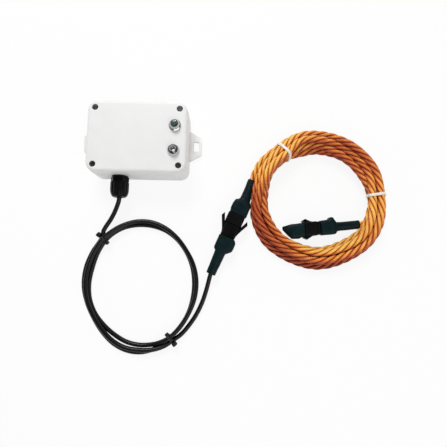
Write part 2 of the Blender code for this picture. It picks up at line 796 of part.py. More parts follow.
def make_board():
    """Circuit board with its screw holes, radio can, antenna and cable terminals."""
    middle = (0, 0, BOARD_BASE + BOARD_THICKNESS / 2)
    size = (BOARD_LENGTH, BOARD_WIDTH, BOARD_THICKNESS)
    board = block("circuit_board", size, middle, BOARD_CORNER, segments=3, finish=BOARD_GREEN)
    for x, y in board_screw_places():
        hole = BOARD_SCREW_THREAD + 2 * GAP
        cut(board, rod("hole", hole, (x, y, FLOOR), (x, y, BOARD_TOP + CUT), sides=10))
    smooth(board)
    middle = (BOARD_LENGTH / 2 - RADIO_INSET, RADIO_Y, BOARD_TOP + GAP + RADIO_SIZE[2] / 2)
    block("radio_module", RADIO_SIZE, middle, 0.0008, 2, edge=0.0003, finish=STEEL)
    points = []
    radius = ANTENNA_DIAMETER / 2
    start = BOARD_LENGTH / 2 - ANTENNA_INSET
    height = BOARD_TOP + GAP + radius + ANTENNA_WIRE / 2
    per_turn = 6
    for i in range(ANTENNA_TURNS * per_turn + 1):
        turn = 2 * math.pi * i / per_turn
        points.append(
            (
                start + ANTENNA_PITCH * i / per_turn,
                ANTENNA_Y + radius * math.cos(turn),
                height + radius * math.sin(turn),
            )
        )
    tube("antenna", points, ANTENNA_WIRE, 1, finish=BRASS)


def make_terminal_block():
    """Two-way screw terminal for the cable's cores, with wire holes and screw wells."""
    length, width, height = TERMINAL_SIZE
    top = BOARD_TOP + GAP + height
    place = (TERMINAL_X, TERMINAL_Y, top - height / 2)
    terminal = block("terminal_block", TERMINAL_SIZE, place, 0.0006, 1, finish=BOARD_GREEN)
    face = TERMINAL_X - length / 2
    for side in (-1, 1):
        y = TERMINAL_Y + side * TERMINAL_PITCH / 2
        mouth = (face - CUT, y, WIRE_HOLE_HEIGHT)
        end = (face + WIRE_HOLE_DEPTH, y, WIRE_HOLE_HEIGHT)
        cut(terminal, rod("wire_hole", WIRE_HOLE, mouth, end, sides=12))
        well = (TERMINAL_X, y)
        cut(terminal, rod("well", WIRE_HOLE, (*well, top - CUT), (*well, top + CUT), sides=12))
    return smooth(terminal)


def make_battery():
    """Two lithium cells side by side in an open holder, with a contact at each end of each cell."""
    inner = (CELL_ROOM_LENGTH, CELL_ROOM_WIDTH)
    depth = CELL_DIAMETER * 0.62
    base = BOARD_TOP + GAP
    size = (inner[0] + 2 * HOLDER_WALL, inner[1] + 2 * HOLDER_WALL, HOLDER_FLOOR + depth)
    place = (PACK_X, PACK_Y, base + size[2] / 2)
    holder = block("battery_holder", size, place, 0.0015, segments=2, finish=BLACK_NYLON)
    room = (PACK_X, PACK_Y, base + HOLDER_FLOOR + depth)
    cut(holder, block("room", (*inner, 2 * depth), room))
    for offset in (-0.6, 0.6):
        y = PACK_Y + offset * CELL_DIAMETER
        slit = (size[0] * 0.5, HOLDER_WINDOW, 4 * HOLDER_FLOOR)
        cut(holder, block("window", slit, (PACK_X, y, base), HOLDER_WINDOW / 4, segments=1))
    for i, side in enumerate((-1, 1)):
        y = PACK_Y + side * CELL_PITCH / 2
        half = CELL_LENGTH / 2
        radius = CELL_DIAMETER / 2
        profile = [
            (0.0, half),
            (CELL_CAP / 2, half),
            (CELL_CAP / 2, half - CELL_NUB),
            (radius - CELL_EDGE, half - CELL_NUB),
            (radius, half - CELL_NUB - CELL_EDGE),
            (radius, -half + CELL_EDGE),
            (radius - CELL_EDGE, -half),
            (0.0, -half),
        ]
        turned(
            f"battery_cell_{i + 1}",
            profile,
            (PACK_X, y, CELL_HEIGHT),
            axis=(side, 0, 0),
            steps=20,
            finish=CELL_WRAP,
        )
        for k, end in enumerate((-1, 1)):
            x = PACK_X + end * (half + GAP + CONTACT_THICKNESS / 2)
            tall = depth - 2 * GAP
            block(
                f"battery_contact_{2 * i + k + 1}",
                (CONTACT_THICKNESS, CONTACT_WIDTH, tall),
                (x, y, base + HOLDER_FLOOR + GAP + tall / 2),
                0.0010,
                segments=2,
                axis="X",
                finish=STEEL,
            )


def make_light():
    """Status light: a chrome bezel through the lid, a green lens in it and its nut."""
    seat = BOX_HEIGHT + GAP
    top = seat + BEZEL_HEIGHT
    bore = LENS_DIAMETER / 2 + GAP
    shank = SHANK_DIAMETER / 2
    rim = BEZEL_DIAMETER / 2
    collar = LENS_DIAMETER / 2 + BEZEL_WALL
    profile = [
        (bore, top),
        (collar - BEZEL_EDGE, top),
        (collar, top - BEZEL_EDGE),
        (collar + BEZEL_EDGE, seat + 2 * BEZEL_RIM),
        (rim - 2 * BEZEL_EDGE, seat + BEZEL_RIM),
        (rim, seat + BEZEL_RIM - BEZEL_EDGE),
        (rim, seat),
        (shank, seat),
        (shank, seat - SHANK_LENGTH),
        (bore, seat - SHANK_LENGTH),
    ]
    turned("led_bezel", profile, (LIGHT_X, LIGHT_Y, 0), steps=22, finish=CHROME)
    radius = LENS_DIAMETER / 2
    dome = []
    for i in range(6):
        angle = math.radians(90 - 18 * i)
        dome.append((radius * math.cos(angle), top + LENS_HEIGHT - radius + radius * math.sin(angle)))
    base = seat - SHANK_LENGTH * 0.55
    profile = [*dome, (radius, base), (0.0, base)]
    turned("led_lens", profile, (LIGHT_X, LIGHT_Y, 0), steps=20, finish=GREEN_LENS)
    make_nut("led_nut", LIGHT_X, LIGHT_Y)


def make_nut(name, x, y):
    """Hexagon nut that clamps a bezel's shank from inside the lid."""
    high = ROOF - GAP
    nut = hex_bar(name, NUT_FLATS, (x, y, high - NUT_THICKNESS), (x, y, high), finish=CHROME)
    cut(nut, rod("bore", SHANK_DIAMETER + 2 * GAP, (x, y, high - 2 * NUT_THICKNESS), (x, y, ROOF)))
    return smooth(nut)


def make_key():
    """Push key: a chrome body through the lid, a plunger on a return spring, and its switch."""
    seat = BOX_HEIGHT + GAP
    top = seat + KEY_BEZEL_HEIGHT
    bottom = top - KEY_BODY_LENGTH
    shank = SHANK_DIAMETER / 2
    rim = KEY_BEZEL_DIAMETER / 2
    bore = KEY_PLUNGER_DIAMETER / 2 + GAP
    pocket = KEY_FLANGE_DIAMETER / 2 + GAP
    pocket_top = bottom + KEY_POCKET_DEPTH
    profile = [
        (bore, top),
        (bore + KEY_BEZEL_LIP, top),
        (rim - KEY_BEZEL_EDGE, top - KEY_BEZEL_SLOPE + 2 * KEY_BEZEL_EDGE),
        (rim, top - KEY_BEZEL_SLOPE),
        (rim, seat),
        (shank, seat),
        (shank, bottom),
        (pocket, bottom),
        (pocket, pocket_top),
        (bore, pocket_top),
    ]
    place = (KEY_X, KEY_Y, 0)
    turned("button_body", profile, place, steps=22, finish=CHROME)
    radius = KEY_PLUNGER_DIAMETER / 2
    flange = KEY_FLANGE_DIAMETER / 2
    crown = top + KEY_PLUNGER_HEIGHT
    flange_top = pocket_top - GAP
    profile = [
        (0.0, crown - flange_top),
        (radius * 0.55, crown - 0.00015 - flange_top),
        (radius * 0.85, crown - 0.00050 - flange_top),
        (radius, crown - 0.00120 - flange_top),
        (radius, 0.0),
        (flange, 0.0),
        (flange, -KEY_FLANGE_THICKNESS),
        (0.0, -KEY_FLANGE_THICKNESS),
    ]
    plunger = turned("button_plunger", profile, (0, 0, 0), steps=22, finish=CHROME)
    plunger.location = (KEY_X, KEY_Y, flange_top)
    spring_top = flange_top - KEY_FLANGE_THICKNESS - GAP
    spring_base = bottom + GAP
    rise = spring_top - spring_base - SPRING_WIRE
    points = []
    count = round(SPRING_TURNS * 8)
    for i in range(count + 1):
        angle = 2 * math.pi * SPRING_TURNS * i / count
        points.append(
            (
                KEY_X + SPRING_DIAMETER / 2 * math.cos(angle),
                KEY_Y + SPRING_DIAMETER / 2 * math.sin(angle),
                spring_base + SPRING_WIRE / 2 + rise * i / count,
            )
        )
    tube("button_spring", points, SPRING_WIRE, 1, finish=STEEL)
    switch = rod(
        "button_switch",
        SHANK_DIAMETER - 2 * GAP,
        (KEY_X, KEY_Y, bottom - GAP - SWITCH_HEIGHT),
        (KEY_X, KEY_Y, bottom - GAP),
        finish=BLACK_NYLON,
    )
    for side in (-1, 1):
        x = KEY_X + side * SWITCH_PIN_OFFSET
        z = bottom - GAP - SWITCH_HEIGHT - SWITCH_PIN[2] / 2 + SWITCH_PIN[1]
        join(switch, block("pin", SWITCH_PIN, (x, KEY_Y, z)))
    smooth(switch)
    make_nut("button_nut", KEY_X, KEY_Y)


def along_gland(distance):
    """A point on the gland's axis, at a distance out from the box's wall."""
    return (GLAND_X, WALL_FACE - distance, GLAND_HEIGHT)


def ribbed_cap(name, rings, finish):
    """A closed skin along the gland's axis through rings of (distance, radius, rib depth)."""
    work = bmesh.new()
    around = 3 * GLAND_CAP_RIBS
    made = []
    for distance, radius, depth in rings:
        middle = Vector(along_gland(distance))
        ring = []
        for i in range(around):
            angle = 2 * math.pi * i / around
            reach = radius - depth if i % 3 == 0 else radius
            spoke = Vector((reach * math.cos(angle), 0.0, reach * math.sin(angle)))
            ring.append(work.verts.new(middle + spoke))
        made.append(ring)
    skin(work, made)
    return add_object(name, mesh_of(work, name), finish)


def make_gland():
    """Cable gland: threaded body, sealing insert, ribbed domed cap, washer and locknut."""
    washer_end = GAP + GLAND_WASHER
    hex_start = washer_end + GAP
    hex_end = hex_start + GLAND_HEX_LENGTH
    body = hex_bar(
        "gland_body", GLAND_FLATS, along_gland(hex_start), along_gland(hex_end), BLACK_NYLON
    )
    inside = GLAND_THREAD_LENGTH
    join(body, rod("thread", GLAND_THREAD, along_gland(-inside), along_gland(hex_start + CUT), 24))
    neck_end = hex_end + GLAND_NECK_LENGTH
    join(body, rod("neck", GLAND_NECK, along_gland(hex_end - CUT), along_gland(neck_end), 24))
    cut(body, rod("bore", GLAND_BORE, along_gland(-inside - CUT), along_gland(neck_end + CUT), 20))
    smooth(body)
    cap_start = hex_end + GAP
    cap_end = cap_start + GLAND_CAP_LENGTH
    dome_start = cap_start + GLAND_CAP_STRAIGHT
    wide = GLAND_CAP_DIAMETER / 2
    tip = GLAND_CAP_TIP / 2
    rings = [(cap_start, wide, GLAND_RIB_DEPTH)]
    for i in range(6):
        angle = math.radians(18 * i)
        share = 1 - math.sin(angle)
        along = dome_start + (cap_end - dome_start) * math.sin(angle)
        rings.append((along, tip + (wide - tip) * math.cos(angle), GLAND_RIB_DEPTH * share))
    cap = ribbed_cap("gland_cap", rings, BLACK_NYLON)
    thread_room = GLAND_NECK + 2 * GAP
    room_end = neck_end + GAP
    cut(cap, rod("room", thread_room, along_gland(cap_start - CUT), along_gland(room_end), 24))
    mouth = CABLE_DIAMETER + 2 * GLAND_MOUTH_SPACE
    cut(cap, rod("mouth", mouth, along_gland(room_end - CUT), along_gland(cap_end + CUT), 20))
    smooth(cap)
    bore = CABLE_DIAMETER / 2 + 2 * GAP
    insert_out = GLAND_BORE / 2 - GAP
    insert_length = GLAND_NECK_LENGTH + GLAND_HEX_LENGTH * 0.5
    profile = [
        (insert_out - 2 * GAP, insert_length / 2),
        (insert_out, insert_length / 2 - 3 * GAP),
        (insert_out, -insert_length / 2),
        (bore, -insert_length / 2),
        (bore, insert_length / 2),
    ]
    middle = along_gland(neck_end - insert_length / 2)
    turned("gland_insert", profile, middle, axis=(0, -1, 0), steps=20, finish=BLACK_RUBBER)
    washer = rod(
        "gland_washer", GLAND_FLATS, along_gland(GAP), along_gland(washer_end), finish=BLACK_RUBBER
    )
    cut(washer, rod("bore", GLAND_THREAD + 2 * GAP, along_gland(-CUT), along_gland(CUT)))
    smooth(washer)
    nut_start = -WALL - GAP
    nut = hex_bar(
        "gland_locknut",
        LOCKNUT_FLATS,
        along_gland(nut_start - LOCKNUT_LENGTH),
        along_gland(nut_start),
        BLACK_NYLON,
    )
    ends = along_gland(nut_start - LOCKNUT_LENGTH - CUT), along_gland(nut_start + CUT)
    cut(nut, rod("bore", GLAND_THREAD + 2 * GAP, *ends))
    smooth(nut)
    return neck_end, cap_end


def make_cable(neck_end, cap_end):
    """The cable's inner end and cores, its oval coil with leads, and two ties."""
    start = neck_end + 2 * GAP
    cable_y = TERMINAL_Y - TERMINAL_PITCH / 2 - CORE_BEND
    inner_end = WALL_FACE - cable_y + GAP
    rod(
        "inner_cable",
        CABLE_DIAMETER,
        along_gland(start - GAP),
        along_gland(inner_end),
        16,
        finish=BLACK_PVC,
    )
    face = TERMINAL_X - TERMINAL_SIZE[0] / 2
    for i, side in enumerate((-1, 1)):
        start_x = GLAND_X - side * WIRE_DIAMETER * 0.8
        y = TERMINAL_Y + side * TERMINAL_PITCH / 2
        radius = y - cable_y
        route = [
            (start_x, cable_y, GLAND_HEIGHT),
            (start_x + 0.1 * radius, cable_y + 0.55 * radius, GLAND_HEIGHT),
            (start_x + 0.5 * radius, cable_y + 0.93 * radius, GLAND_HEIGHT - 0.0002),
            (start_x + 1.3 * radius, y, GLAND_HEIGHT - 0.0007),
            (face - 0.0030, y, WIRE_HOLE_HEIGHT + GAP),
            (face + WIRE_HOLE_DEPTH - GAP, y, WIRE_HOLE_HEIGHT),
        ]
        points = smooth_line(route, 1.5 * WIRE_DIAMETER)
        tube(f"core_wire_{i + 1}", points, WIRE_DIAMETER, 1, finish=RED_PVC)
    lead = [along_gland(start), along_gland(cap_end + CABLE_END_STRAIGHT), *CABLE_LEAD]
    tube("cable_lead", smooth_line(lead, CABLE_STEP / 2), CABLE_DIAMETER, 2, finish=BLACK_PVC)
    axis = connector_frame().to_3x3() @ Vector((1, 0, 0))
    plug_end = Vector((*CONNECTOR_START, CONNECTOR_HEIGHT)) - axis * GAP
    tail = [*CABLE_TAIL, plug_end - axis * 2 * CABLE_DIAMETER, plug_end]
    tube("cable_tail", smooth_line(tail, CABLE_STEP), CABLE_DIAMETER, 2, finish=BLACK_PVC)
    make_cable_coil()
    for i, angle in enumerate(TIE_ANGLES):
        make_cable_tie(f"cable_tie_{i + 1}", angle)


def coil_section(angle):
    """The coil's section at an angle: its centre, outward direction, width and height."""
    outer, inner, low, high = between(COIL_BUNDLE, angle)
    middle = (outer + inner) / 2
    centre = oval_point(angle, middle, (low + high) / 2)
    ahead = oval_point(angle + 1.0, middle, centre.z) - oval_point(angle - 1.0, middle, centre.z)
    ahead.normalize()
    outward = Vector((ahead.y, -ahead.x, 0.0))
    return centre, outward, inner - outer + CABLE_DIAMETER, high - low


def make_cable_coil():
    """The cable's coil as one closed ring of its outer shape, round the oval."""
    work = bmesh.new()
    rings = []
    for i in range(COIL_STEPS):
        centre, outward, width, height = coil_section(360.0 * i / COIL_STEPS)
        ring = []
        for out, up in rounded_section(width / 2, height / 2, CABLE_DIAMETER * 0.6, 3):
            ring.append(work.verts.new(centre + outward * out + Vector((0, 0, up))))
        rings.append(ring)
    skin(work, rings, closed=True)
    return smooth(add_object("cable_coil", mesh_of(work, "cable_coil"), BLACK_PVC), 60.0)


def make_cable_tie(name, angle):
    """A tie round the coil's section, with its head on the outer side."""
    centre, outward, width, height = coil_section(angle)
    slack = 3 * GAP
    inner = (width + 2 * slack, height + 2 * slack)
    outer = (inner[0] + 2 * TIE_THICKNESS, inner[1] + 2 * TIE_THICKNESS)
    corner = CABLE_DIAMETER * 0.6 + slack
    size = (outer[0], TIE_WIDTH, outer[1])
    tie = block(name, size, (0, 0, 0), corner + TIE_THICKNESS, 3, "Y", finish=BLACK_NYLON)
    cut(tie, block("room", (inner[0], 3 * TIE_WIDTH, inner[1]), (0, 0, 0), corner, 3, "Y"))
    reach = outer[0] / 2 + TIE_HEAD * 0.3
    head = (TIE_HEAD * 0.75, TIE_HEAD, TIE_HEAD * 0.9)
    join(tie, block("head", head, (reach, 0, 0), 0.0006, 2))
    ahead = Vector((-outward.y, outward.x, 0.0))
    turn = Matrix((outward, ahead, Vector((0, 0, 1)))).transposed().to_4x4()
    tie.matrix_world = Matrix.Translation(centre) @ turn
    return smooth(settled(tie))


def connector_frame():
    """Local X runs from the cable towards the rope, local Z points up."""
    turn = Matrix.Rotation(math.radians(CONNECTOR_ANGLE), 4, "Z")
    return Matrix.Translation((*CONNECTOR_START, CONNECTOR_HEIGHT)) @ turn


def end_frame():
    """Local X runs from the rope's end towards the end cap, local Z points up."""
    turn = Matrix.Rotation(math.radians(END_ANGLE), 4, "Z")
    return Matrix.Translation((*END_START, END_HEIGHT)) @ turn


def make_latch(frame, latch, base, side):
    """A wedge that grows out of the housing's side and ends as an arm past its open end."""
    root, leave, tip, inner, spread = latch
    ahead = math.copysign(1.0, tip - root)
    outline = (
        (root, base - LATCH_SINK),
        (root, base),
        (root + ahead * LATCH_RISE, base + LATCH_STEP),
        (tip - ahead * LATCH_BEVEL, spread),
        (tip, spread - LATCH_BLUNT),
        (leave, inner),
        (leave - ahead * LATCH_STEP, base - LATCH_SINK),
    )
    work = bmesh.new()
    rings = []
    for height in (-LATCH_WIDTH / 2, LATCH_WIDTH / 2):
        rings.append([work.verts.new(frame @ Vector((x, side * y, height))) for x, y in outline])
    skin(work, rings)
    rims = [rim for rim in work.edges if abs(rim.verts[0].co.z - rim.verts[1].co.z) < CLIP_EDGE]
    bmesh.ops.bevel(work, geom=rims, offset=CLIP_EDGE, segments=1, affect="EDGES")
    return add_object("latch", mesh_of(work, "latch"))


def make_plug(name, frame, body, nose, latch):
    """Plug housing along its frame: a body, a nose that enters the socket, and two latch arms."""
    start, end, width, thickness = body
    corner = EDGE_CORNER
    plug = loft(
        name,
        (
            (start, width * 0.92, thickness * 0.92, corner),
            (start + corner / 3, width, thickness, corner),
            (end - corner / 3, width, thickness, corner),
            (end, width * 0.94, thickness * 0.94, corner),
        ),
        frame,
        BLACK_NYLON,
    )
    length, *tip = nose
    nose_sections = (
        (end - CUT, *tip, corner * 0.6),
        (end + length * 0.9, *tip, corner * 0.6),
        (end + length, tip[0] * 0.92, tip[1] * 0.92, corner * 0.5),
    )
    join(plug, loft("nose", nose_sections, frame))
    for side in (-1, 1):
        join(plug, make_latch(frame, latch, width / 2, side))
    return smooth(plug, 40.0)


def make_socket(name, frame, start, end, depth, width, thickness):
    """Socket housing: a rectangular cup that takes the plug's nose."""
    corner = EDGE_CORNER
    socket = loft(
        name,
        (
            (start, width, thickness, corner),
            (end - corner / 2, width, thickness, corner),
            (end, width * 0.93, thickness * 0.93, corner),
        ),
        frame,
        BLACK_NYLON,
    )
    room = (width - 2 * SOCKET_WALL, thickness - 2 * SOCKET_WALL, corner * 0.6)
    cut(socket, loft("room", ((start - CUT, *room), (start + depth, *room)), frame))
    return smooth(socket, 40.0)


def make_sleeve(name, frame, sections):
    """Heat-shrink sleeve from a round cable end to a housing's rectangular back."""
    return loft(name, sections, frame, SHRINK)


def clearance(frame, sections):
    """A cutter that leaves the usual gap round a sleeve."""
    grown = [(at, width + 2 * GAP, thick + 2 * GAP, corner) for at, width, thick, corner in sections]
    first, last = grown[0], grown[-1]
    grown[0] = (first[0] - GAP, *first[1:])
    grown[-1] = (last[0] + GAP, *last[1:])
    return loft("clearance", grown, frame)


def cable_sleeve_sections():
    """Sleeve from the cable's end over the back of the plug."""
    half = SLEEVE_DIAMETER / 2
    wide = SLEEVE_DIAMETER * 1.14
    return (
        (0.0, SLEEVE_DIAMETER, SLEEVE_DIAMETER, half),
        (SLEEVE_LENGTH, wide, SLEEVE_DIAMETER * 1.04, half),
        (SLEEVE_LENGTH + 0.0012, wide * 1.08, COLLAR_THICKNESS * 0.86, 0.0036),
        (COLLAR_START, COLLAR_WIDTH, COLLAR_THICKNESS, 0.0030),
        (COLLAR_END - 0.0010, COLLAR_WIDTH * 0.98, COLLAR_THICKNESS * 0.98, 0.0028),
        (COLLAR_END, COLLAR_WIDTH * 0.94, COLLAR_THICKNESS * 0.94, 0.0026),
    )


def rope_sleeve_sections():
    """Sleeve over the rope's start, from the connector into the coil."""
    half = SLEEVE_DIAMETER / 2
    width = ROPE_COLLAR_WIDTH
    return (
        (ROPE_COLLAR_START, width * 0.95, COLLAR_THICKNESS * 0.94, 0.0026),
        (ROPE_COLLAR_START + 0.0010, width * 0.98, COLLAR_THICKNESS * 0.98, 0.0028),
        (ROPE_COLLAR_END, width, COLLAR_THICKNESS, 0.0032),
        (ROPE_SLEEVE_START, SLEEVE_DIAMETER * 1.08, SLEEVE_DIAMETER * 1.08, half),
        (ROPE_SLEEVE_END, SLEEVE_DIAMETER * 0.96, SLEEVE_DIAMETER * 0.96, half),
    )


def end_sleeve_sections():
    """Sleeve over the rope's far end, from the coil's inner side to the end connector."""
    half = END_SLEEVE_DIAMETER / 2
    return (
        (0.0, END_SLEEVE_DIAMETER, END_SLEEVE_DIAMETER, half),
        (END_SLEEVE_LENGTH, END_SLEEVE_DIAMETER * 1.07, END_SLEEVE_DIAMETER * 1.04, half),
        (END_COLLAR_START, END_WIDTH, END_THICKNESS, 0.0030),
        (END_COLLAR_END - 0.0010, END_WIDTH, END_THICKNESS, 0.0026),
        (END_COLLAR_END, END_WIDTH * 0.94, END_THICKNESS * 0.94, 0.0024),
    )


def end_cap_sections():
    """Sleeve that closes the end connector, pinched together at its tip."""
    start = END_PLUG_START + END_PLUG_LENGTH + GAP
    return (
        (start, END_WIDTH * 0.94, END_THICKNESS * 0.94, 0.0026),
        (start + 0.0010, END_WIDTH, END_THICKNESS, 0.0026),
        (start + END_CAP_LENGTH * 0.68, END_WIDTH * 0.95, END_THICKNESS * 0.94, 0.0030),
        (start + END_CAP_LENGTH * 0.84, END_WIDTH * 0.62, END_THICKNESS * 0.52, 0.0024),
        (start + END_CAP_LENGTH, END_WIDTH * 0.40, END_THICKNESS * 0.24, 0.0012),
    )


def add_lump(sleeve, frame, size, at, side_at):
    """A rounded lump where a latch's button stands out under a sleeve."""
    lump = block("lump", size, (0, 0, 0), min(size[:2]) * 0.4, 3, edge=0.0008)
    lump.matrix_world = frame @ Matrix.Translation((at, -side_at, 0))
    join(sleeve, settled(lump))
    smooth(sleeve, 40.0)


def make_connector():
    """The connector between cable and rope."""
    frame = connector_frame()
    sleeve = make_sleeve("cable_sleeve", frame, cable_sleeve_sections())
    add_lump(sleeve, frame, COLLAR_LUMP, COLLAR_LUMP_AT, COLLAR_WIDTH / 2)
    plug_start = COLLAR_END + GAP
    plug_end = plug_start + PLUG_LENGTH
    inner = 2 * (SOCKET_WALL + GAP)
    make_plug(
        "plug_housing",
        frame,
        (plug_start, plug_end, PLUG_WIDTH, PLUG_THICKNESS),
        (PLUG_NOSE, SOCKET_WIDTH - inner, SOCKET_THICKNESS - inner),
        (LATCH_ROOT, plug_end, LATCH_TIP, SOCKET_WIDTH / 2 + GAP, LATCH_SPREAD),
    )
    ends = plug_end + GAP, ROPE_COLLAR_START - GAP
    make_socket("socket_housing", frame, *ends, PLUG_NOSE + GAP, SOCKET_WIDTH, SOCKET_THICKNESS)
    make_sleeve("rope_sleeve", frame, rope_sleeve_sections())


def make_end_connector():
    """The connector on the rope's far end, closed by a cap; its plug faces the rope."""
    frame = end_frame()
    sleeve = make_sleeve("end_sleeve", frame, end_sleeve_sections())
    add_lump(sleeve, frame, END_LUMP, END_LUMP_AT, END_WIDTH / 2)
    width = END_WIDTH * END_SOCKET_SHARE
    thick = END_THICKNESS * END_SOCKET_SHARE
    half_turn = Matrix.Rotation(math.pi, 4, "Z")
    mouth = END_PLUG_START - GAP
    length = mouth - END_COLLAR_END - GAP
    socket_frame = frame @ Matrix.Translation((mouth, 0, 0)) @ half_turn
    make_socket("end_socket", socket_frame, 0.0, length, END_NOSE + GAP, width, thick)
    plug_end = END_PLUG_START + END_PLUG_LENGTH
    inner = 2 * (SOCKET_WALL + GAP)
    make_plug(
        "end_plug",
        frame @ Matrix.Translation((plug_end, 0, 0)) @ half_turn,
        (0.0, END_PLUG_LENGTH, END_WIDTH * 0.96, END_THICKNESS * 0.96),
        (END_NOSE, width - inner, thick - inner),
        (END_LATCH_ROOT, 0.0, -END_LATCH_REACH, END_WIDTH / 2 + GAP, END_LATCH_SPREAD),
    )
    make_sleeve("end_cap", frame, end_cap_sections())


def ring_profile():
    """Section of the rope coil, with its foot set back on the inner side."""
    low, high = RING_BASE, RING_BASE + RING_HEIGHT
    profile = []
    for centre_r, centre_z, start in (
        (RING_OUTER - RING_CORNER, high - RING_CORNER, 90),
        (RING_OUTER - RING_CORNER, low + RING_CORNER, 0),
    ):
        for i in range(4):
            angle = math.radians(start - 30 * i)
            profile.append(
                (centre_r + RING_CORNER * math.cos(angle), centre_z + RING_CORNER * math.sin(angle))
            )
    foot = RING_INNER + RING_FOOT
    profile += [
        (foot + RING_FOOT_EDGE, low),
        (foot, low + RING_FOOT_EDGE),
        (foot, low + RING_FOOT_HEIGHT),
        (RING_INNER, low + RING_FOOT_HEIGHT + RING_FOOT_SLOPE),
        (RING_INNER, high - RING_CORNER),
    ]
    for i in range(1, 4):
        angle = math.radians(180 - 30 * i)
        profile.append(
            (
                RING_INNER + RING_CORNER + RING_CORNER * math.cos(angle),
                high - RING_CORNER + RING_CORNER * math.sin(angle),
            )
        )
    return profile


def make_rope():
    """The rope's coil as one ring, set back where its two sleeves enter it, and its white ties."""
    coil = turned("rope_coil", ring_profile(), (*RING_CENTRE, 0.0), steps=36, finish=ROPE_ORANGE)
    cut(coil, clearance(connector_frame(), rope_sleeve_sections()))
    cut(coil, clearance(end_frame(), end_sleeve_sections()))
    cut(coil, clearance(end_frame(), end_cap_sections()))
    smooth(coil, 50.0)
    for i, angle in enumerate(COIL_TIE_ANGLES):
        make_coil_tie(f"coil_tie_{i + 1}", angle)


def make_coil_tie(name, angle):
    """A thin white tie round the rope coil's section."""
    turn = Matrix.Rotation(math.radians(angle), 4, "Z")
    place = Matrix.Translation((*RING_CENTRE, 0.0)) @ turn
    inner_low = RING_BASE - GAP
    inner_high = RING_BASE + RING_HEIGHT + GAP
    inner_width = RING_OUTER - RING_INNER + 2 * GAP
    middle = ((RING_OUTER + RING_INNER) / 2, 0.0, (inner_low + inner_high) / 2)
    thick = 2 * COIL_TIE_THICKNESS
    size = (inner_width + thick, COIL_TIE_WIDTH, inner_high - inner_low + thick)
    tie = block(name, size, middle, RING_CORNER + COIL_TIE_THICKNESS, 4, "Y", finish=WHITE_NYLON)
    room = (inner_width, 4 * COIL_TIE_WIDTH, inner_high - inner_low)
    cut(tie, block("room", room, middle, RING_CORNER, 4, "Y"))
    tie.matrix_world = place
    return smooth(settled(tie))


def main():
    global parts, cutters
    for old in list(bpy.data.objects):
        bpy.data.objects.remove(old)
    parts = collection("water_leak_sensor")
    cutters = collection("cutters")
    make_base_shell()
    make_lid()
    make_gasket()
    make_screws()
    make_board()
    make_terminal_block()
    make_battery()
    make_light()
    make_key()
    make_cable(*make_gland())
    make_connector()
    make_rope()
    make_end_connector()


main()
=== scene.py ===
"""Water leak sensor: a wall box with a light and a push key, a coiled cable and a sensing rope."""

import json
import math

import bmesh
import bpy
import numpy as np
from mathutils import Matrix, Vector, noise


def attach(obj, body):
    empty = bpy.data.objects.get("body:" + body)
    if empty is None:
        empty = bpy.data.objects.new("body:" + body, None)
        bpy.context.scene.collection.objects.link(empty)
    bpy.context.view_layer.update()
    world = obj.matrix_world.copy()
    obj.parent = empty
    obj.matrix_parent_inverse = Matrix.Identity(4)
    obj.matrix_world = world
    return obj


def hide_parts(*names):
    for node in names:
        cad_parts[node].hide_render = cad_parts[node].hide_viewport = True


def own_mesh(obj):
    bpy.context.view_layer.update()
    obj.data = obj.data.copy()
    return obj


bl_info = {
    "name": "Water Leak Sensor",
    "version": (1, 0, 0),
    "blender": (4, 5, 0),
    "location": "View3D > Sidebar > Leak Sensor",
    "description": "Dresses a water leak sensor with its cable, connectors and sensing rope",
    "category": "Object",
}

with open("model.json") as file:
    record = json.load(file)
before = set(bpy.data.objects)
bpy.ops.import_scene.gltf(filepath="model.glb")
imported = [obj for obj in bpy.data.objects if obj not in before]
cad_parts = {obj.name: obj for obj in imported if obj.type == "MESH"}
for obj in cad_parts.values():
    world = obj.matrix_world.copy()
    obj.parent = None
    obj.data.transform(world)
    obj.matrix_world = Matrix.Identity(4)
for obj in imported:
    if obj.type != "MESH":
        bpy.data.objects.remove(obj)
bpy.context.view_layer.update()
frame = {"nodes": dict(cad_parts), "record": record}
BODY = "sensor"

# Camera
EYE = Vector((0.07625, -0.10568, 0.34845))
CAMERA_RIGHT = Vector((0.99979671, 0.01876508, 0.00737566))
CAMERA_UP = Vector((-0.01937469, 0.99540075, 0.09381884))
CAMERA_BACK = Vector((-0.00558122, -0.09394267, 0.99556196))
LENS_MM = 29.77
SENSOR_MM = 36.0

# Light: each lamp's name, place, aim, size and power, then the world's and the floor's values
LAMPS = (
    ("Window lamp", (-0.15, 0.82, 0.98), (0.06, -0.06, 0.0), 0.52, 10.4),
    ("Fill lamp", (0.35, -0.60, 0.90), (0.06, -0.08, 0.0), 0.95, 4.6),
)
HORIZON_STRENGTH = 0.85
ZENITH_STRENGTH = 0.12
FLOOR_GREY = 0.90
FLOOR_GLOW = 0.88
FLOOR_DROP = 0.0002

# Mesh fineness
SLEEVE_SIDES = 44
STRAP_STEPS = 96

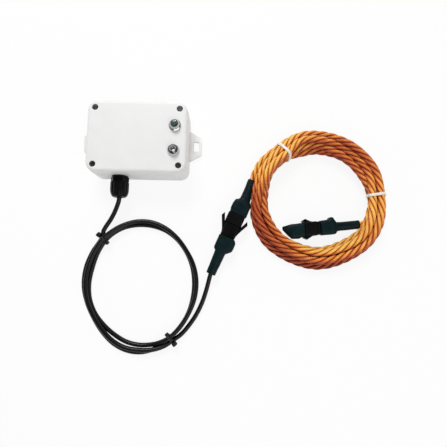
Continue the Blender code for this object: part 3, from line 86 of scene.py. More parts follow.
# Cable route
CABLE_CENTRE = (0.0022, -0.1325)
CABLE_HALF = (0.0516, 0.0596)
CABLE_LEAD = (
    (-0.0174, -0.0480, 0.0145),
    (-0.0174, -0.0541, 0.0144),
    (-0.0200, -0.0605, 0.0116),
    (-0.0232, -0.0664, 0.0086),
    (-0.0268, -0.0722, 0.0064),
    (-0.0302, -0.0770, 0.0054),
    (-0.0332, -0.0820, 0.0047),
)
CABLE_TURNS = (
    (133.5, -1.3, 4.4), (150, -0.9, 2.4), (165, -1.0, 2.2), (181, -0.2, 2.2), (197, 1.8, 2.2),
    (212, 3.2, 2.2), (228, 2.8, 2.2), (245, 1.3, 2.2), (261, 0.3, 2.2), (276, 0.1, 2.2),
    (292, 1.0, 2.6), (307, 2.5, 3.3), (321, 2.5, 2.6), (335, 2.0, 2.3), (350, 1.9, 2.2),
    (365, 1.6, 2.2), (380, 1.3, 2.2), (395, 1.4, 2.2), (410, 1.6, 2.2), (425, 2.1, 2.2),
    (440, 2.8, 2.2), (455, 2.9, 2.2), (470, 2.3, 2.3), (482, 2.2, 2.6), (493.5, 2.6, 3.2),
    (508, 3.7, 2.4), (522, 4.7, 2.2), (538, 4.4, 2.2), (553, 4.5, 2.2), (568, 5.8, 2.2),
    (584, 7.7, 2.2), (600, 8.4, 2.2), (616, 7.6, 2.2), (632, 6.5, 2.3), (648, 4.9, 3.0),
    (658, 3.9, 5.0), (667, 3.1, 7.2), (680, 2.4, 6.8), (695, 1.6, 6.2), (710, 0.1, 5.8),
    (725, -0.7, 5.6), (740, -0.4, 5.9), (755, 0.6, 6.3), (770, 0.5, 6.2), (785, 0.0, 5.6),
    (800, -0.4, 4.9), (815, -0.2, 5.0), (830, 0.4, 5.8), (842, 0.8, 6.8), (853.5, 0.9, 7.7),
    (868, 1.5, 5.7), (882, 1.9, 5.3), (898, 2.1, 5.4), (913, 3.1, 5.4), (928, 4.5, 5.4),
    (944, 5.0, 5.2), (960, 4.1, 5.3), (976, 3.2, 5.3), (992, 2.7, 5.2), (1006, 0.9, 5.2),
    (1018, -0.6, 4.2), (1027, -0.9, 3.4),
)
CABLE_TAIL = (
    (0.0414, -0.1754, 0.0026),
    (0.0499, -0.1651, 0.0022),
    (0.0553, -0.1564, 0.0024),
    (0.0598, -0.1466, 0.0030),
    (0.0630, -0.1368, 0.0040),
    (0.0655, -0.1269, 0.0052),
    (0.0672, -0.1200, 0.0062),
    (0.0688, -0.1163, 0.0062),
)

# Rope route
ROPE_CENTRE = (0.1655, -0.0487)
ROPE_START = (
    (0.1000, -0.0431, 0.0062),
    (0.1044, -0.0328, 0.0062),
)
ROPE_END = (
    (0.2216, -0.0560, 0.0044),
    (0.2194, -0.0640, 0.0048),
    (0.2135, -0.0699, 0.0056),
    (0.2055, -0.0719, 0.0064),
    (0.1975, -0.0727, 0.0066),
)
# Each station is a polar angle and, for each turn in order, the rope's radius and height in mm.
ROPE_STATIONS = (
    (166.0, ((63.1, 6.2), (58.6, 12.6), (54.0, 17.6), (51.8, 10.6), (49.4, 4.0), (55.6, 4.0))),
    (148.0, ((62.6, 6.0), (57.4, 12.8), (52.4, 17.8), (51.4, 11.0), (50.4, 4.0), (57.0, 4.0))),
    (125.5, ((60.4, 8.6), (57.4, 14.6), (51.0, 17.2), (49.2, 10.6), (48.9, 4.0), (55.8, 4.0))),
    (108.0, ((62.8, 4.6), (61.2, 12.2), (55.4, 16.0), (50.0, 11.2), (46.6, 4.0), (54.4, 4.4))),
    (90.0, ((62.6, 4.2), (60.6, 12.0), (54.6, 15.6), (50.2, 10.4), (46.9, 4.0), (54.6, 4.4))),
    (60.0, ((62.6, 5.4), (58.4, 15.4), (53.0, 11.4), (46.9, 10.0), (47.8, 4.0), (55.4, 4.2))),
    (30.0, ((61.6, 8.4), (57.9, 16.2), (52.0, 13.6), (46.8, 9.8), (49.4, 4.0), (57.4, 4.2))),
    (4.0, ((58.8, 11.0), (55.9, 17.6), (48.2, 17.2), (50.2, 10.6), (51.6, 4.0), (58.4, 4.2))),
    (-22.0, ((61.4, 10.4), (57.4, 18.2), (50.0, 18.4), (48.2, 12.4), (54.4, 12.0), (0.0, 0.0))),
    (-45.0, ((62.6, 4.4), (59.8, 11.8), (52.2, 12.4), (48.6, 5.6), (55.6, 5.2), (0.0, 0.0))),
    (-90.0, ((62.4, 4.0), (57.8, 11.0), (50.2, 11.0), (47.9, 4.0), (55.0, 4.0), (0.0, 0.0))),
    (-135.0, ((62.8, 4.0), (57.4, 11.0), (49.8, 11.2), (48.8, 4.0), (55.6, 4.0), (0.0, 0.0))),
    (-165.0, ((61.0, 5.6), (58.2, 11.4), (50.8, 11.4), (50.2, 4.0), (56.2, 4.0), (0.0, 0.0))),
)
# Metres for each unit of height above, a little under a millimetre so that the layers press
ROPE_HEIGHT_UNIT = 0.00094
ROPE_SPACING = 0.86
# How the lanes settle: steps, pushes off each other and off a sleeve, stiffness, pull back, sink
SETTLE_STEPS = 150
SETTLE_PUSH = 0.40
SETTLE_SLEEVE_PUSH = 0.6
SETTLE_STIFFNESS = 0.45
SETTLE_BACK = 0.05
SETTLE_SINK = 0.00002
# Each strand's centre and half sizes as shares of the rope's radius
STRAND_CENTRE = 0.55
STRAND_OUT = 0.45
STRAND_ACROSS = 0.435
# How far the painted light on the rope's top and +Y side, a blotch, a slow drift and the painted
# shade round the coil shift the colour
ROPE_LIT_SIDE_SHARE = 1.55
ROPE_BLOTCH_SHARE = 0.75
ROPE_DRIFT_SHARE = 0.5
ROPE_PAINTED_SHADE_SHARE = 0.85
# A polar angle round the coil, then how deep the painted shade is on the innermost and outermost
# lanes, with negative values painting light
ROPE_PAINTED_SHADE = (
    (-180.0, 0.35, 0.75), (-150.0, 0.55, 1.05), (-120.0, 0.20, 1.10), (-90.0, -0.30, 1.00),
    (-60.0, -0.40, 0.65), (-30.0, -0.40, 0.10), (0.0, -0.10, 0.10), (30.0, 0.35, 0.55),
    (60.0, 0.55, 0.65), (90.0, 0.35, 0.45), (120.0, -0.20, -0.20), (150.0, -0.30, -0.30),
    (180.0, 0.35, 0.75),
)
# The innermost lane's radius and how far out the outermost lane stands, over which the painted
# shade runs from its inner to its outer depth
ROPE_INNER_LANE = 0.0485
ROPE_LANE_SPAN = 0.0135
# Where on the ramp the groove, flank, middle, shoulder and crest colours stand, from painted shade
# in the grooves to a painted highlight on the crests
ROPE_RAMP = (0.12, 0.36, 0.62, 0.82, 0.97)
# The side of the rope that is painted lighter, its top and +Y side where the lamp falls: painted
# light
ROPE_LIT_SIDE = np.array((-0.10, 0.73, 0.676))
ROPE_TIE_ANGLES = (125.5, 4.0)
CABLE_TIE_ANGLES = (133.5, 307.0)

# Connector between the cable and the rope, and the one on the rope's far end
CONNECTOR_PLACE = (0.0672, -0.1200, 0.0062)
CONNECTOR_ANGLE = 66.9
END_PLACE = (0.2040, -0.0720, 0.0066)
END_ANGLE = 186.3
# Sleeve stations in mm: distance along, half width, half height, side shift, boxiness.
CABLE_SLEEVE = (
    (0.0, 4.30, 4.20, 0.0, 2.0), (3.0, 4.45, 4.30, 0.0, 2.0), (10.0, 4.75, 4.45, 0.0, 2.0),
    (17.0, 5.00, 4.60, 0.1, 2.1), (21.6, 5.20, 4.80, 0.1, 2.3), (23.2, 6.90, 5.50, 0.1, 3.2),
    (24.6, 7.50, 5.75, 0.0, 4.4), (30.0, 7.60, 5.80, 0.0, 4.8), (35.2, 7.50, 5.75, 0.0, 4.8),
    (36.0, 7.60, 5.85, 0.0, 4.4), (36.8, 7.50, 5.75, 0.0, 4.4),
)
ROPE_SLEEVE = (
    (60.3, 8.20, 5.75, -0.7, 4.4), (61.0, 8.40, 5.90, -0.7, 4.4), (62.5, 8.20, 5.75, -0.7, 4.8),
    (70.6, 8.30, 5.80, -0.7, 4.6), (72.6, 7.90, 5.65, -0.8, 3.8), (74.2, 5.80, 5.00, -1.1, 2.5),
    (76.0, 5.00, 4.75, -1.2, 2.2), (83.0, 4.60, 4.60, -0.9, 2.0), (90.0, 4.35, 4.45, -0.4, 2.0),
    (94.8, 4.30, 4.35, -0.1, 2.0),
)
END_SLEEVE = (
    (0.0, 4.15, 4.15, 0.0, 2.0), (3.0, 4.10, 4.10, 0.0, 2.0), (10.0, 4.10, 4.15, 0.1, 2.0),
    (18.0, 4.20, 4.20, 0.1, 2.1), (21.0, 4.60, 4.40, 0.1, 2.3), (22.6, 6.50, 5.20, 0.0, 3.2),
    (24.0, 6.90, 5.55, 0.0, 4.2), (30.0, 7.00, 5.60, 0.0, 4.6), (35.2, 6.85, 5.55, 0.0, 4.6),
    (36.2, 6.75, 5.50, 0.0, 4.2),
)
END_CAP = (
    (51.7, 6.60, 5.50, 0.4, 4.2), (52.6, 6.80, 5.60, 0.4, 4.4), (58.0, 6.70, 5.50, 0.6, 4.2),
    (63.6, 6.40, 5.30, 0.6, 3.8), (66.2, 5.20, 4.40, -0.2, 3.0), (68.4, 3.60, 3.00, -1.3, 2.6),
    (70.2, 2.40, 1.80, -2.3, 2.3), (71.1, 1.50, 1.10, -2.6, 2.2),
)
# Where a latch's button stands out under a sleeve: distance along, reach, half length, side.
CABLE_SLEEVE_LUMP = (30.4, 2.3, 5.7, -1)
ROPE_SLEEVE_LUMP = (66.0, 0.7, 3.6, 1)
END_SLEEVE_LUMP = (25.8, 2.1, 2.4, -1)
END_CAP_LUMP = (60.0, 0.8, 4.0, 1)
# Rings that round a sleeve's end in mm: how far in from the skin, and how far back along it
MOUTH_LIPS = ((0.30, -0.15), (0.75, 0.10), (0.95, 0.8), (1.0, 3.0))
CLOSED_LIPS = ((0.22, -0.12), (0.70, -0.14))

# Ties: a strap's section in shares of its width and thickness, its thickness, and the knobs
STRAP_SECTION = (
    (-0.50, -0.1), (-0.49, 0.55), (-0.36, 0.92), (0.0, 1.05), (0.36, 0.92), (0.49, 0.55),
    (0.50, -0.1), (0.0, -0.2),
)
CABLE_STRAP_THICK = 0.0009
ROPE_STRAP_THICK = 0.0010
STRAP_REACH = 0.016
KNOB_OUTER = (0.0036, 0.0044, 0.0042)
KNOB_INNER = (0.0030, 0.0036, 0.0034)
KNOB_CORNER = 0.0009
KNOB_APART = 0.0034
KNOB_HEIGHT = 0.0062


def smooth_line(points, step):
    """An even row of points at about the given step on a smooth curve through the given points."""
    p = np.array(points, float)
    ends = np.vstack([2 * p[0] - p[1], p, 2 * p[-1] - p[-2]])
    gaps = np.sqrt(np.linalg.norm(np.diff(ends, axis=0), axis=1)) + 1e-9
    fine = []
    for i in range(len(p) - 1):
        a, b, c, d = ends[i:i + 4]
        g0, g1, g2 = gaps[i:i + 3]
        m1 = (c - b) + g1 * ((b - a) / g0 - (c - a) / (g0 + g1))
        m2 = (c - b) + g1 * ((d - c) / g2 - (d - b) / (g1 + g2))
        t = np.linspace(0, 1, 24, endpoint=False)[:, None]
        fine.append((2 * t ** 3 - 3 * t ** 2 + 1) * b + (t ** 3 - 2 * t ** 2 + t) * m1
                    + (3 * t ** 2 - 2 * t ** 3) * c + (t ** 3 - t ** 2) * m2)
    fine = np.vstack(fine + [p[-1:]])
    along = np.concatenate([[0], np.cumsum(np.linalg.norm(np.diff(fine, axis=0), axis=1))])
    count = max(2, int(round(along[-1] / step)) + 1)
    even = np.linspace(0, along[-1], count)
    return np.stack([np.interp(even, along, fine[:, i]) for i in range(3)], axis=1)


def cable_route():
    """The cable's centre line from the gland's mouth through its oval coil to the connector."""
    points = [Vector(p) for p in CABLE_LEAD]
    for angle, inward, height in CABLE_TURNS:
        spot, out = oval_place(angle)
        points.append(spot - out * inward * 0.001 + Vector((0.0, 0.0, height * 0.001)))
    points += [Vector(p) for p in CABLE_TAIL]
    return smooth_line(points, 0.004)


def plane_frame(place, angle):
    """A frame that lies flat at a place, turned by an angle about the upward direction."""
    turn = Matrix.Rotation(math.radians(angle), 4, "Z")
    return Matrix.Translation(place) @ turn


def sleeve_capsules():
    """Each connector as straight runs with a radius at both ends, for the rope to clear."""
    runs = []
    for place, angle, first, last, half in (
        (CONNECTOR_PLACE, CONNECTOR_ANGLE, 0.058, 0.073, (0.0082, 0.0082)),
        (CONNECTOR_PLACE, CONNECTOR_ANGLE, 0.075, 0.0948, (0.0050, 0.0044)),
        (END_PLACE, END_ANGLE, 0.0, 0.021, (0.0042, 0.0044)),
        (END_PLACE, END_ANGLE, 0.023, 0.066, (0.0070, 0.0070)),
    ):
        frame_at = plane_frame(place, angle)
        ends = [np.array(frame_at @ Vector((at, 0.0, 0.0))) for at in (first, last)]
        runs.append((*ends, *half))
    return runs


def rope_route(diameter):
    """The rope's centre line: lanes given at each station, then settled together."""
    points = [np.array(p) for p in ROPE_START]
    for turn in range(6):
        for angle, lanes in ROPE_STATIONS:
            radius, height = lanes[turn]
            if radius == 0.0 or (turn == 0 and angle == 166.0):
                continue
            a = math.radians(angle)
            points.append(np.array((ROPE_CENTRE[0] + radius * 0.001 * math.cos(a),
                                    ROPE_CENTRE[1] + radius * 0.001 * math.sin(a),
                                    height * ROPE_HEIGHT_UNIT)))
    points += [np.array(p) for p in ROPE_END]
    line = smooth_line(points, 0.006)
    target = line.copy()
    apart = diameter * ROPE_SPACING
    floor = diameter / 2 + 0.0001
    count = len(line)
    far = np.abs(np.subtract.outer(np.arange(count), np.arange(count))) > 4
    held = np.zeros(count, bool)
    held[:4] = True
    held[-4:] = True
    runs = sleeve_capsules()
    for _ in range(SETTLE_STEPS):
        gap = line[:, None] - line[None]
        length = np.linalg.norm(gap, axis=2) + 1e-9
        push = np.where(far & (length < apart), (apart - length) / length, 0.0)
        move = (gap * push[..., None]).sum(axis=1) * SETTLE_PUSH
        for start, end, first, last in runs:
            run = end - start
            share = np.clip(((line - start) @ run) / (run @ run), 0.0, 1.0)
            away = line - (start + share[:, None] * run)
            reach = np.linalg.norm(away, axis=1) + 1e-9
            room = first + (last - first) * share + diameter * 0.47
            short = (np.maximum(room - reach, 0.0) / reach)[:, None]
            move += away * short * SETTLE_SLEEVE_PUSH
        bend = np.zeros_like(line)
        bend[1:-1] = (line[:-2] + line[2:]) / 2 - line[1:-1]
        kept = np.zeros_like(line)
        kept[1:-1] = (target[:-2] + target[2:]) / 2 - target[1:-1]
        move += (bend - kept) * SETTLE_STIFFNESS + (target - line) * SETTLE_BACK
        move[:, 2] -= SETTLE_SINK
        move[held] = 0.0
        line = line + move
        line[~held, 2] = np.maximum(line[~held, 2], floor)
    return smooth_line(line, 0.002)


def mesh_from(name, vertices, faces, uvs=None, angle=40.0):
    """A smooth-shaded mesh from rows of points, with UVs where they are given."""
    mesh = bpy.data.meshes.new(name)
    mesh.from_pydata([tuple(v) for v in vertices], [], faces)
    if uvs:
        layer = mesh.uv_layers.new(name="strand")
        layer.data.foreach_set("uv", [c for face in uvs for corner in face for c in corner])
    shade_smooth(mesh, angle)
    return mesh


def ring_faces(count, sides, closed=False):
    """Faces between rings of points, closed round or with a face on each end."""
    faces = []
    for i in range(count if closed else count - 1):
        a, b = i * sides, ((i + 1) % count) * sides
        for j in range(sides):
            k = (j + 1) % sides
            faces.append((a + j, a + k, b + k, b + j))
    if not closed:
        faces.append(tuple(reversed(range(sides))))
        faces.append(tuple(range((count - 1) * sides, count * sides)))
    return faces


def eased(table, at):
    """The row of a table of stations at a distance, eased from station to station."""
    for low, high in zip(table, table[1:]):
        if at <= high[0]:
            share = min(1.0, max(0.0, (at - low[0]) / (high[0] - low[0])))
            share = share * share * (3 - 2 * share)
            return [a + (b - a) * share for a, b in zip(low, high)]
    return list(table[-1])


def shrunk_ring(row, lump, seed):
    """One ring of a shrunk sleeve in its frame, in mm, with the bulge and fine wrinkles."""
    at, half_width, half_height, shift, boxy = row
    ring = []
    for j in range(SLEEVE_SIDES):
        a = 2 * math.pi * j / SLEEVE_SIDES
        c, s = math.cos(a), math.sin(a)
        y = math.copysign(abs(c) ** (2 / boxy), c) * half_width
        z = math.copysign(abs(s) ** (2 / boxy), s) * half_height
        near = math.exp(-abs((at - lump[0]) / lump[2]) ** 6)
        facing = max(0.0, c * lump[3]) ** 0.45
        y += lump[3] * lump[1] * near * facing
        soft = noise.noise(Vector((at * 0.22, 1.6 * c + seed, 1.6 * s)))
        crease = noise.noise(Vector((at * 0.9 + seed, 2.8 * c, 2.8 * s)))
        grow = 1.0 + 0.030 * soft + 0.012 * crease
        ring.append((at, y * grow + shift, z * grow))
    return ring


def sleeve_mesh(name, place, angle, table, lump, mouth, seed):
    """A shrunk sleeve along its frame; mouth is its open end, 0 the first, 1 the last, or None."""
    frame_at = plane_frame(place, angle)
    first, last = table[0][0], table[-1][0]
    count = int((last - first) / 0.55) + 1
    rows = [eased(table, first + (last - first) * i / (count - 1)) for i in range(count)]
    rings = [shrunk_ring(row, lump, seed) for row in rows]
    for end, row in ((0, rows[0]), (1, rows[-1])):
        way = 1.0 if end == 0 else -1.0
        made = []
        for inward, back in (MOUTH_LIPS if mouth == end else CLOSED_LIPS):
            lip = [row[0] + way * back, row[1] - inward, row[2] - inward, *row[3:]]
            made.append(shrunk_ring(lip, lump, seed))
        rings = list(reversed(made)) + rings if end == 0 else rings + made
    vertices = [frame_at @ (Vector(p) * 0.001) for ring in rings for p in ring]
    return mesh_from(name, vertices, ring_faces(len(rings), SLEEVE_SIDES), angle=50.0)


def crossings(line, origin, outward, reach):
    """Where a line passes through the upright plane at origin, as (outward, up) pairs."""
    ahead = Vector((-outward.y, outward.x, 0.0))
    found = []
    for a, b in zip(line, line[1:]):
        a, b = Vector(a), Vector(b)
        da, db = (a - origin).dot(ahead), (b - origin).dot(ahead)
        if (da <= 0.0) != (db <= 0.0):
            spot = a + (b - a) * (da / (da - db))
            out = (spot - origin).dot(outward)
            if abs(out) < reach:
                found.append((out, spot.z))
    return found


def hull_line(spots, radius, count):
    """An even closed row of points round circles at the spots, pulled tight."""
    outline = []
    for i in range(720):
        a = 2 * math.pi * i / 720
        way = (math.cos(a), math.sin(a))
        best = max(spots, key=lambda p: p[0] * way[0] + p[1] * way[1])
        outline.append((best[0] + way[0] * radius, best[1] + way[1] * radius))
    outline = np.array(outline + outline[:1])
    along = np.concatenate([[0], np.cumsum(np.linalg.norm(np.diff(outline, axis=0), axis=1))])
    even = np.linspace(0, along[-1], count, endpoint=False)
    loop = np.stack([np.interp(even, along, outline[:, i]) for i in range(2)], axis=1)
    for _ in range(3):
        loop = (np.roll(loop, 1, axis=0) + 2 * loop + np.roll(loop, -1, axis=0)) / 4
    return loop


def strap_mesh(name, spots, radius, origin, outward, width, thick):
    """A strap pulled tight round strands that cross an upright plane."""
    loop = hull_line(spots, radius, STRAP_STEPS)
    ahead = Vector((-outward.y, outward.x, 0.0))
    step = np.roll(loop, -1, axis=0) - np.roll(loop, 1, axis=0)
    normal = np.stack([step[:, 1], -step[:, 0]], axis=1)
    normal /= np.linalg.norm(normal, axis=1)[:, None]
    vertices = []
    for i in range(STRAP_STEPS):
        wave = 0.0005 * math.sin(4 * math.pi * i / STRAP_STEPS)
        for across, up in STRAP_SECTION:
            out = loop[i] + normal[i] * thick * up
            spot = origin + outward * float(out[0]) + ahead * (across * width + wave)
            spot.z = max(float(out[1]), 0.0001 + 0.0003 * (1.05 - up))
            vertices.append(spot)
    return mesh_from(name, vertices, ring_faces(STRAP_STEPS, len(STRAP_SECTION), closed=True),
                     angle=55.0)


def knob_mesh(name, place, angle, size, corner):
    """A small moulded block with round edges."""
    frame_at = plane_frame(place, angle)
    work = bmesh.new()
    bmesh.ops.create_cube(work, size=1.0)
    bmesh.ops.scale(work, vec=size, verts=work.verts)
    bmesh.ops.bevel(work, geom=work.edges[:], offset=corner, segments=4, profile=0.5,
                    affect="EDGES")
    bmesh.ops.transform(work, matrix=frame_at, verts=work.verts)
    mesh = bpy.data.meshes.new(name)
    work.to_mesh(mesh)
    work.free()
    shade_smooth(mesh, 40.0)
    return mesh


def new_object(name, mesh, material):
    """Links a mesh or a curve as a piece that rides on the sensor's body."""
    piece = bpy.data.objects.new(name, mesh)
    bpy.context.scene.collection.objects.link(piece)
    mesh.materials.append(material)
    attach(piece, BODY)
    return piece


def shade_smooth(mesh, angle=40.0):
    """Smooth shading with hard edges where faces meet at more than the angle."""
    bm = bmesh.new()
    bm.from_mesh(mesh)
    for face in bm.faces:
        face.smooth = True
    limit = math.radians(angle)
    for edge in bm.edges:
        if len(edge.link_faces) == 2:
            edge.smooth = edge.calc_face_angle(0.0) < limit
    bm.to_mesh(mesh)
    bm.free()


def frames_along(line):
    """The side and upward directions at each point of a nearly level line."""
    tangent = np.gradient(line, axis=0)
    tangent /= np.linalg.norm(tangent, axis=1)[:, None]
    side = np.cross(np.array((0.0, 0.0, 1.0)), tangent)
    side /= np.linalg.norm(side, axis=1)[:, None]
    return side, np.cross(tangent, side)


def painted_shade_depth(line):
    """How deep the rope's painted shade is at each point of its line, with negative values
    painting light.
    """
    away = line[:, :2] - np.array(ROPE_CENTRE)
    angle = np.degrees(np.arctan2(away[:, 1], away[:, 0]))
    table = np.array(ROPE_PAINTED_SHADE)
    inner, outer = (np.interp(angle, table[:, 0], table[:, i]) for i in (1, 2))
    share = (np.linalg.norm(away, axis=1) - ROPE_INNER_LANE) / ROPE_LANE_SPAN
    share = np.clip(share, 0.0, 1.0)
    return inner + (outer - inner) * share


def strand_rope_mesh(name, line, diameter, pitch, strands, sides):
    """A rope of twisted strands round a line, with UVs for its strands and a second map of painted
    light and shade: a lighter top and +Y side, and a painted shade depth round the coil.
    """
    side, up = frames_along(line)
    along = np.concatenate([[0], np.cumsum(np.linalg.norm(np.diff(line, axis=0), axis=1))])
    taper = np.minimum(1.0, 0.80 + 0.20 * np.minimum(along, along[-1] - along) / 0.014)
    radius = (diameter / 2 * taper)[:, None]
    vertices, faces, uvs, painted_light_parts = [], [], [], []
    # The painted shade round the coil, one value for each vertex.
    painted_shades = np.tile(np.repeat(painted_shade_depth(line), sides), strands)
    for strand in range(strands):
        phase = 2 * math.pi * strand / strands - 2 * math.pi * along / pitch
        outward = np.cos(phase)[:, None] * side + np.sin(phase)[:, None] * up
        across = -np.sin(phase)[:, None] * side + np.cos(phase)[:, None] * up
        centre = line + outward * radius * STRAND_CENTRE
        swell = 1.0 + 0.035 * np.sin(2 * math.pi * (along / 0.0137 + 0.37 * strand))[:, None]
        first = len(vertices)
        rings = []
        for j in range(sides):
            a = 2 * math.pi * j / sides
            rings.append(centre + outward * radius * STRAND_OUT * math.cos(a) * swell
                         + across * radius * STRAND_ACROSS * math.sin(a))
        made = np.stack(rings, axis=1)
        # Painted light: how far each point faces the lit top and +Y side.
        painted_light_parts.append((((made - line[:, None]) / radius[:, None]) @ ROPE_LIT_SIDE).reshape(-1))
        vertices += list(made.reshape(-1, 3))
        for face in ring_faces(len(line), sides):
            faces.append(tuple(first + v for v in face))
            if len(face) != 4:
                uvs.append(((0.0, 0.0),) * sides)
                continue
            i, j = face[0] // sides, face[0] % sides
            u0, u1 = along[i] / diameter + 7.3 * strand, along[i + 1] / diameter + 7.3 * strand
            v0, v1 = j / sides, (j + 1) / sides
            uvs.append(((u0, v0), (u0, v1), (u1, v1), (u1, v0)))
    mesh = mesh_from(name, vertices, faces, uvs, 60.0)
    # The second map holds the painted light first and the painted shade depth second.
    lie = np.concatenate(painted_light_parts) * 0.5 + 0.5
    corners = np.empty(len(mesh.loops), int)
    mesh.loops.foreach_get("vertex_index", corners)
    layer = mesh.uv_layers.new(name="lie")
    layer.data.foreach_set("uv", np.stack([lie, painted_shades], axis=1)[corners].reshape(-1))
    return mesh


def new_group(name, inputs, outputs):
    """A shader node group with (name, type, default) inputs and float outputs, and its ends."""
    tree = bpy.data.node_groups.new(name, "ShaderNodeTree")
    for label, kind, default in inputs:
        socket = tree.interface.new_socket(label, in_out="INPUT", socket_type=kind)
        if default is not None:
            socket.default_value = default
    for label in outputs:
        tree.interface.new_socket(label, in_out="OUTPUT", socket_type="NodeSocketFloat")
    return tree, tree.nodes.new("NodeGroupInput"), tree.nodes.new("NodeGroupOutput")


def node(tree, kind, **values):
    """Adds a shader node and sets its properties and input values."""
    made = tree.nodes.new(kind)
    for key, value in values.items():
        if hasattr(made, key):
            setattr(made, key, value)
        else:
            made.inputs[key.replace("_", " ")].default_value = value
    return made


def wire(tree, giver, out, taker, into):
    """Links one node's output to another node's input."""
    tree.links.new(giver.outputs[out], taker.inputs[into])


def moulded_grain():
    """Fine moulded grain with soft cloudy drift: a height and a mask."""
    tree = bpy.data.node_groups.get("Moulded grain")
    if tree:
        return tree
    tree, start, end = new_group(
        "Moulded grain", (("Grain scale", "NodeSocketFloat", 2500.0),
                          ("Cloud scale", "NodeSocketFloat", 60.0)), ("Height", "Cloud"))
    place = tree.nodes.new("ShaderNodeTexCoord")
    grain = node(tree, "ShaderNodeTexNoise", Detail=3.0, Roughness=0.6)
    cloud = node(tree, "ShaderNodeTexNoise", Detail=2.0, Roughness=0.5)
    wire(tree, place, "Object", grain, "Vector")
    wire(tree, place, "Object", cloud, "Vector")
    wire(tree, start, "Grain scale", grain, "Scale")
    wire(tree, start, "Cloud scale", cloud, "Scale")
    wire(tree, grain, "Fac", end, "Height")
    wire(tree, cloud, "Fac", end, "Cloud")
    return tree


def drawn_lines():
    """Fine lines along a UV map's first direction: a height and a mask."""
    tree = bpy.data.node_groups.get("Drawn lines")
    if tree:
        return tree
    tree, start, end = new_group(
        "Drawn lines", (("Vector", "NodeSocketVector", None), ("Along", "NodeSocketFloat", 1.0),
                        ("Across", "NodeSocketFloat", 30.0)), ("Height", "Blotch", "Drift"))
    join = tree.nodes.new("ShaderNodeCombineXYZ")
    scaled = node(tree, "ShaderNodeVectorMath", operation="MULTIPLY")
    lines = node(tree, "ShaderNodeTexNoise", Scale=1.0, Detail=3.0, Roughness=0.55)
    blotch = node(tree, "ShaderNodeTexNoise", Scale=0.9, Detail=2.0, Roughness=0.5)
    wire(tree, start, "Along", join, "X")
    wire(tree, start, "Across", join, "Y")
    wire(tree, start, "Vector", scaled, 0)
    wire(tree, join, "Vector", scaled, 1)
    wire(tree, scaled, "Vector", lines, "Vector")
    wire(tree, start, "Vector", blotch, "Vector")
    wire(tree, lines, "Fac", end, "Height")
    wire(tree, blotch, "Fac", end, "Blotch")
    slow = node(tree, "ShaderNodeTexNoise", Scale=0.085, Detail=1.0, Roughness=0.5)
    wire(tree, start, "Vector", slow, "Vector")
    wire(tree, slow, "Fac", end, "Drift")
    return tree


def empty_material(name):
    """A material with only its Principled shader, and that shader."""
    material = bpy.data.materials.new(name)
    material.use_nodes = True
    return material, material.node_tree, material.node_tree.nodes["Principled BSDF"]


def blend_colours(tree, factor, low, high, dark, pale):
    """A ramp from one colour to another over part of a mask's range."""
    ramp = tree.nodes.new("ShaderNodeValToRGB")
    ramp.color_ramp.elements[0].position = low
    ramp.color_ramp.elements[1].position = high
    ramp.color_ramp.elements[0].color = (*dark, 1.0)
    ramp.color_ramp.elements[1].color = (*pale, 1.0)
    tree.links.new(factor, ramp.inputs["Fac"])
    return ramp.outputs["Color"]


def blend_values(tree, factor, low, high, from_low=0.3, from_high=0.7):
    """A mask's middle range mapped to a range of values."""
    span = node(tree, "ShaderNodeMapRange", From_Min=from_low, From_Max=from_high,
                To_Min=low, To_Max=high)
    tree.links.new(factor, span.inputs["Value"])
    return span.outputs["Result"]


def moulded(name, dark, pale, rough, grain=2500.0, cloud=60.0, depth=0.00004, coat=0.0,
            specular=0.5):
    """Moulded plastic or rubber: a grained surface with slight drift in colour and gloss."""
    found = bpy.data.materials.get(name)
    if found:
        return found
    material, tree, shader = empty_material(name)
    effect = node(tree, "ShaderNodeGroup", node_tree=moulded_grain(), Grain_scale=grain,
                  Cloud_scale=cloud)
    colour = blend_colours(tree, effect.outputs["Cloud"], 0.3, 0.7, dark, pale)
    tree.links.new(colour, shader.inputs["Base Color"])
    gloss = blend_values(tree, effect.outputs["Cloud"], rough[0], rough[1])
    tree.links.new(gloss, shader.inputs["Roughness"])
    bump = node(tree, "ShaderNodeBump", Strength=0.5, Distance=depth)
    wire(tree, effect, "Height", bump, "Height")
    wire(tree, bump, "Normal", shader, "Normal")
    shader.inputs["Coat Weight"].default_value = coat
    shader.inputs["Specular IOR Level"].default_value = specular
    return material


def plated(name, colour, rough, grain=1800.0):
    """Plated or bare metal with faint polishing marks."""
    found = bpy.data.materials.get(name)
    if found:
        return found
    material, tree, shader = empty_material(name)
    effect = node(tree, "ShaderNodeGroup", node_tree=moulded_grain(), Grain_scale=grain,
                  Cloud_scale=220.0)
    dull = tuple(0.86 * c for c in colour)
    tint = blend_colours(tree, effect.outputs["Cloud"], 0.35, 0.65, dull, colour)
    tree.links.new(tint, shader.inputs["Base Color"])
    gloss = blend_values(tree, effect.outputs["Height"], rough[0], rough[1])
    tree.links.new(gloss, shader.inputs["Roughness"])
    shader.inputs["Metallic"].default_value = 1.0
    return material


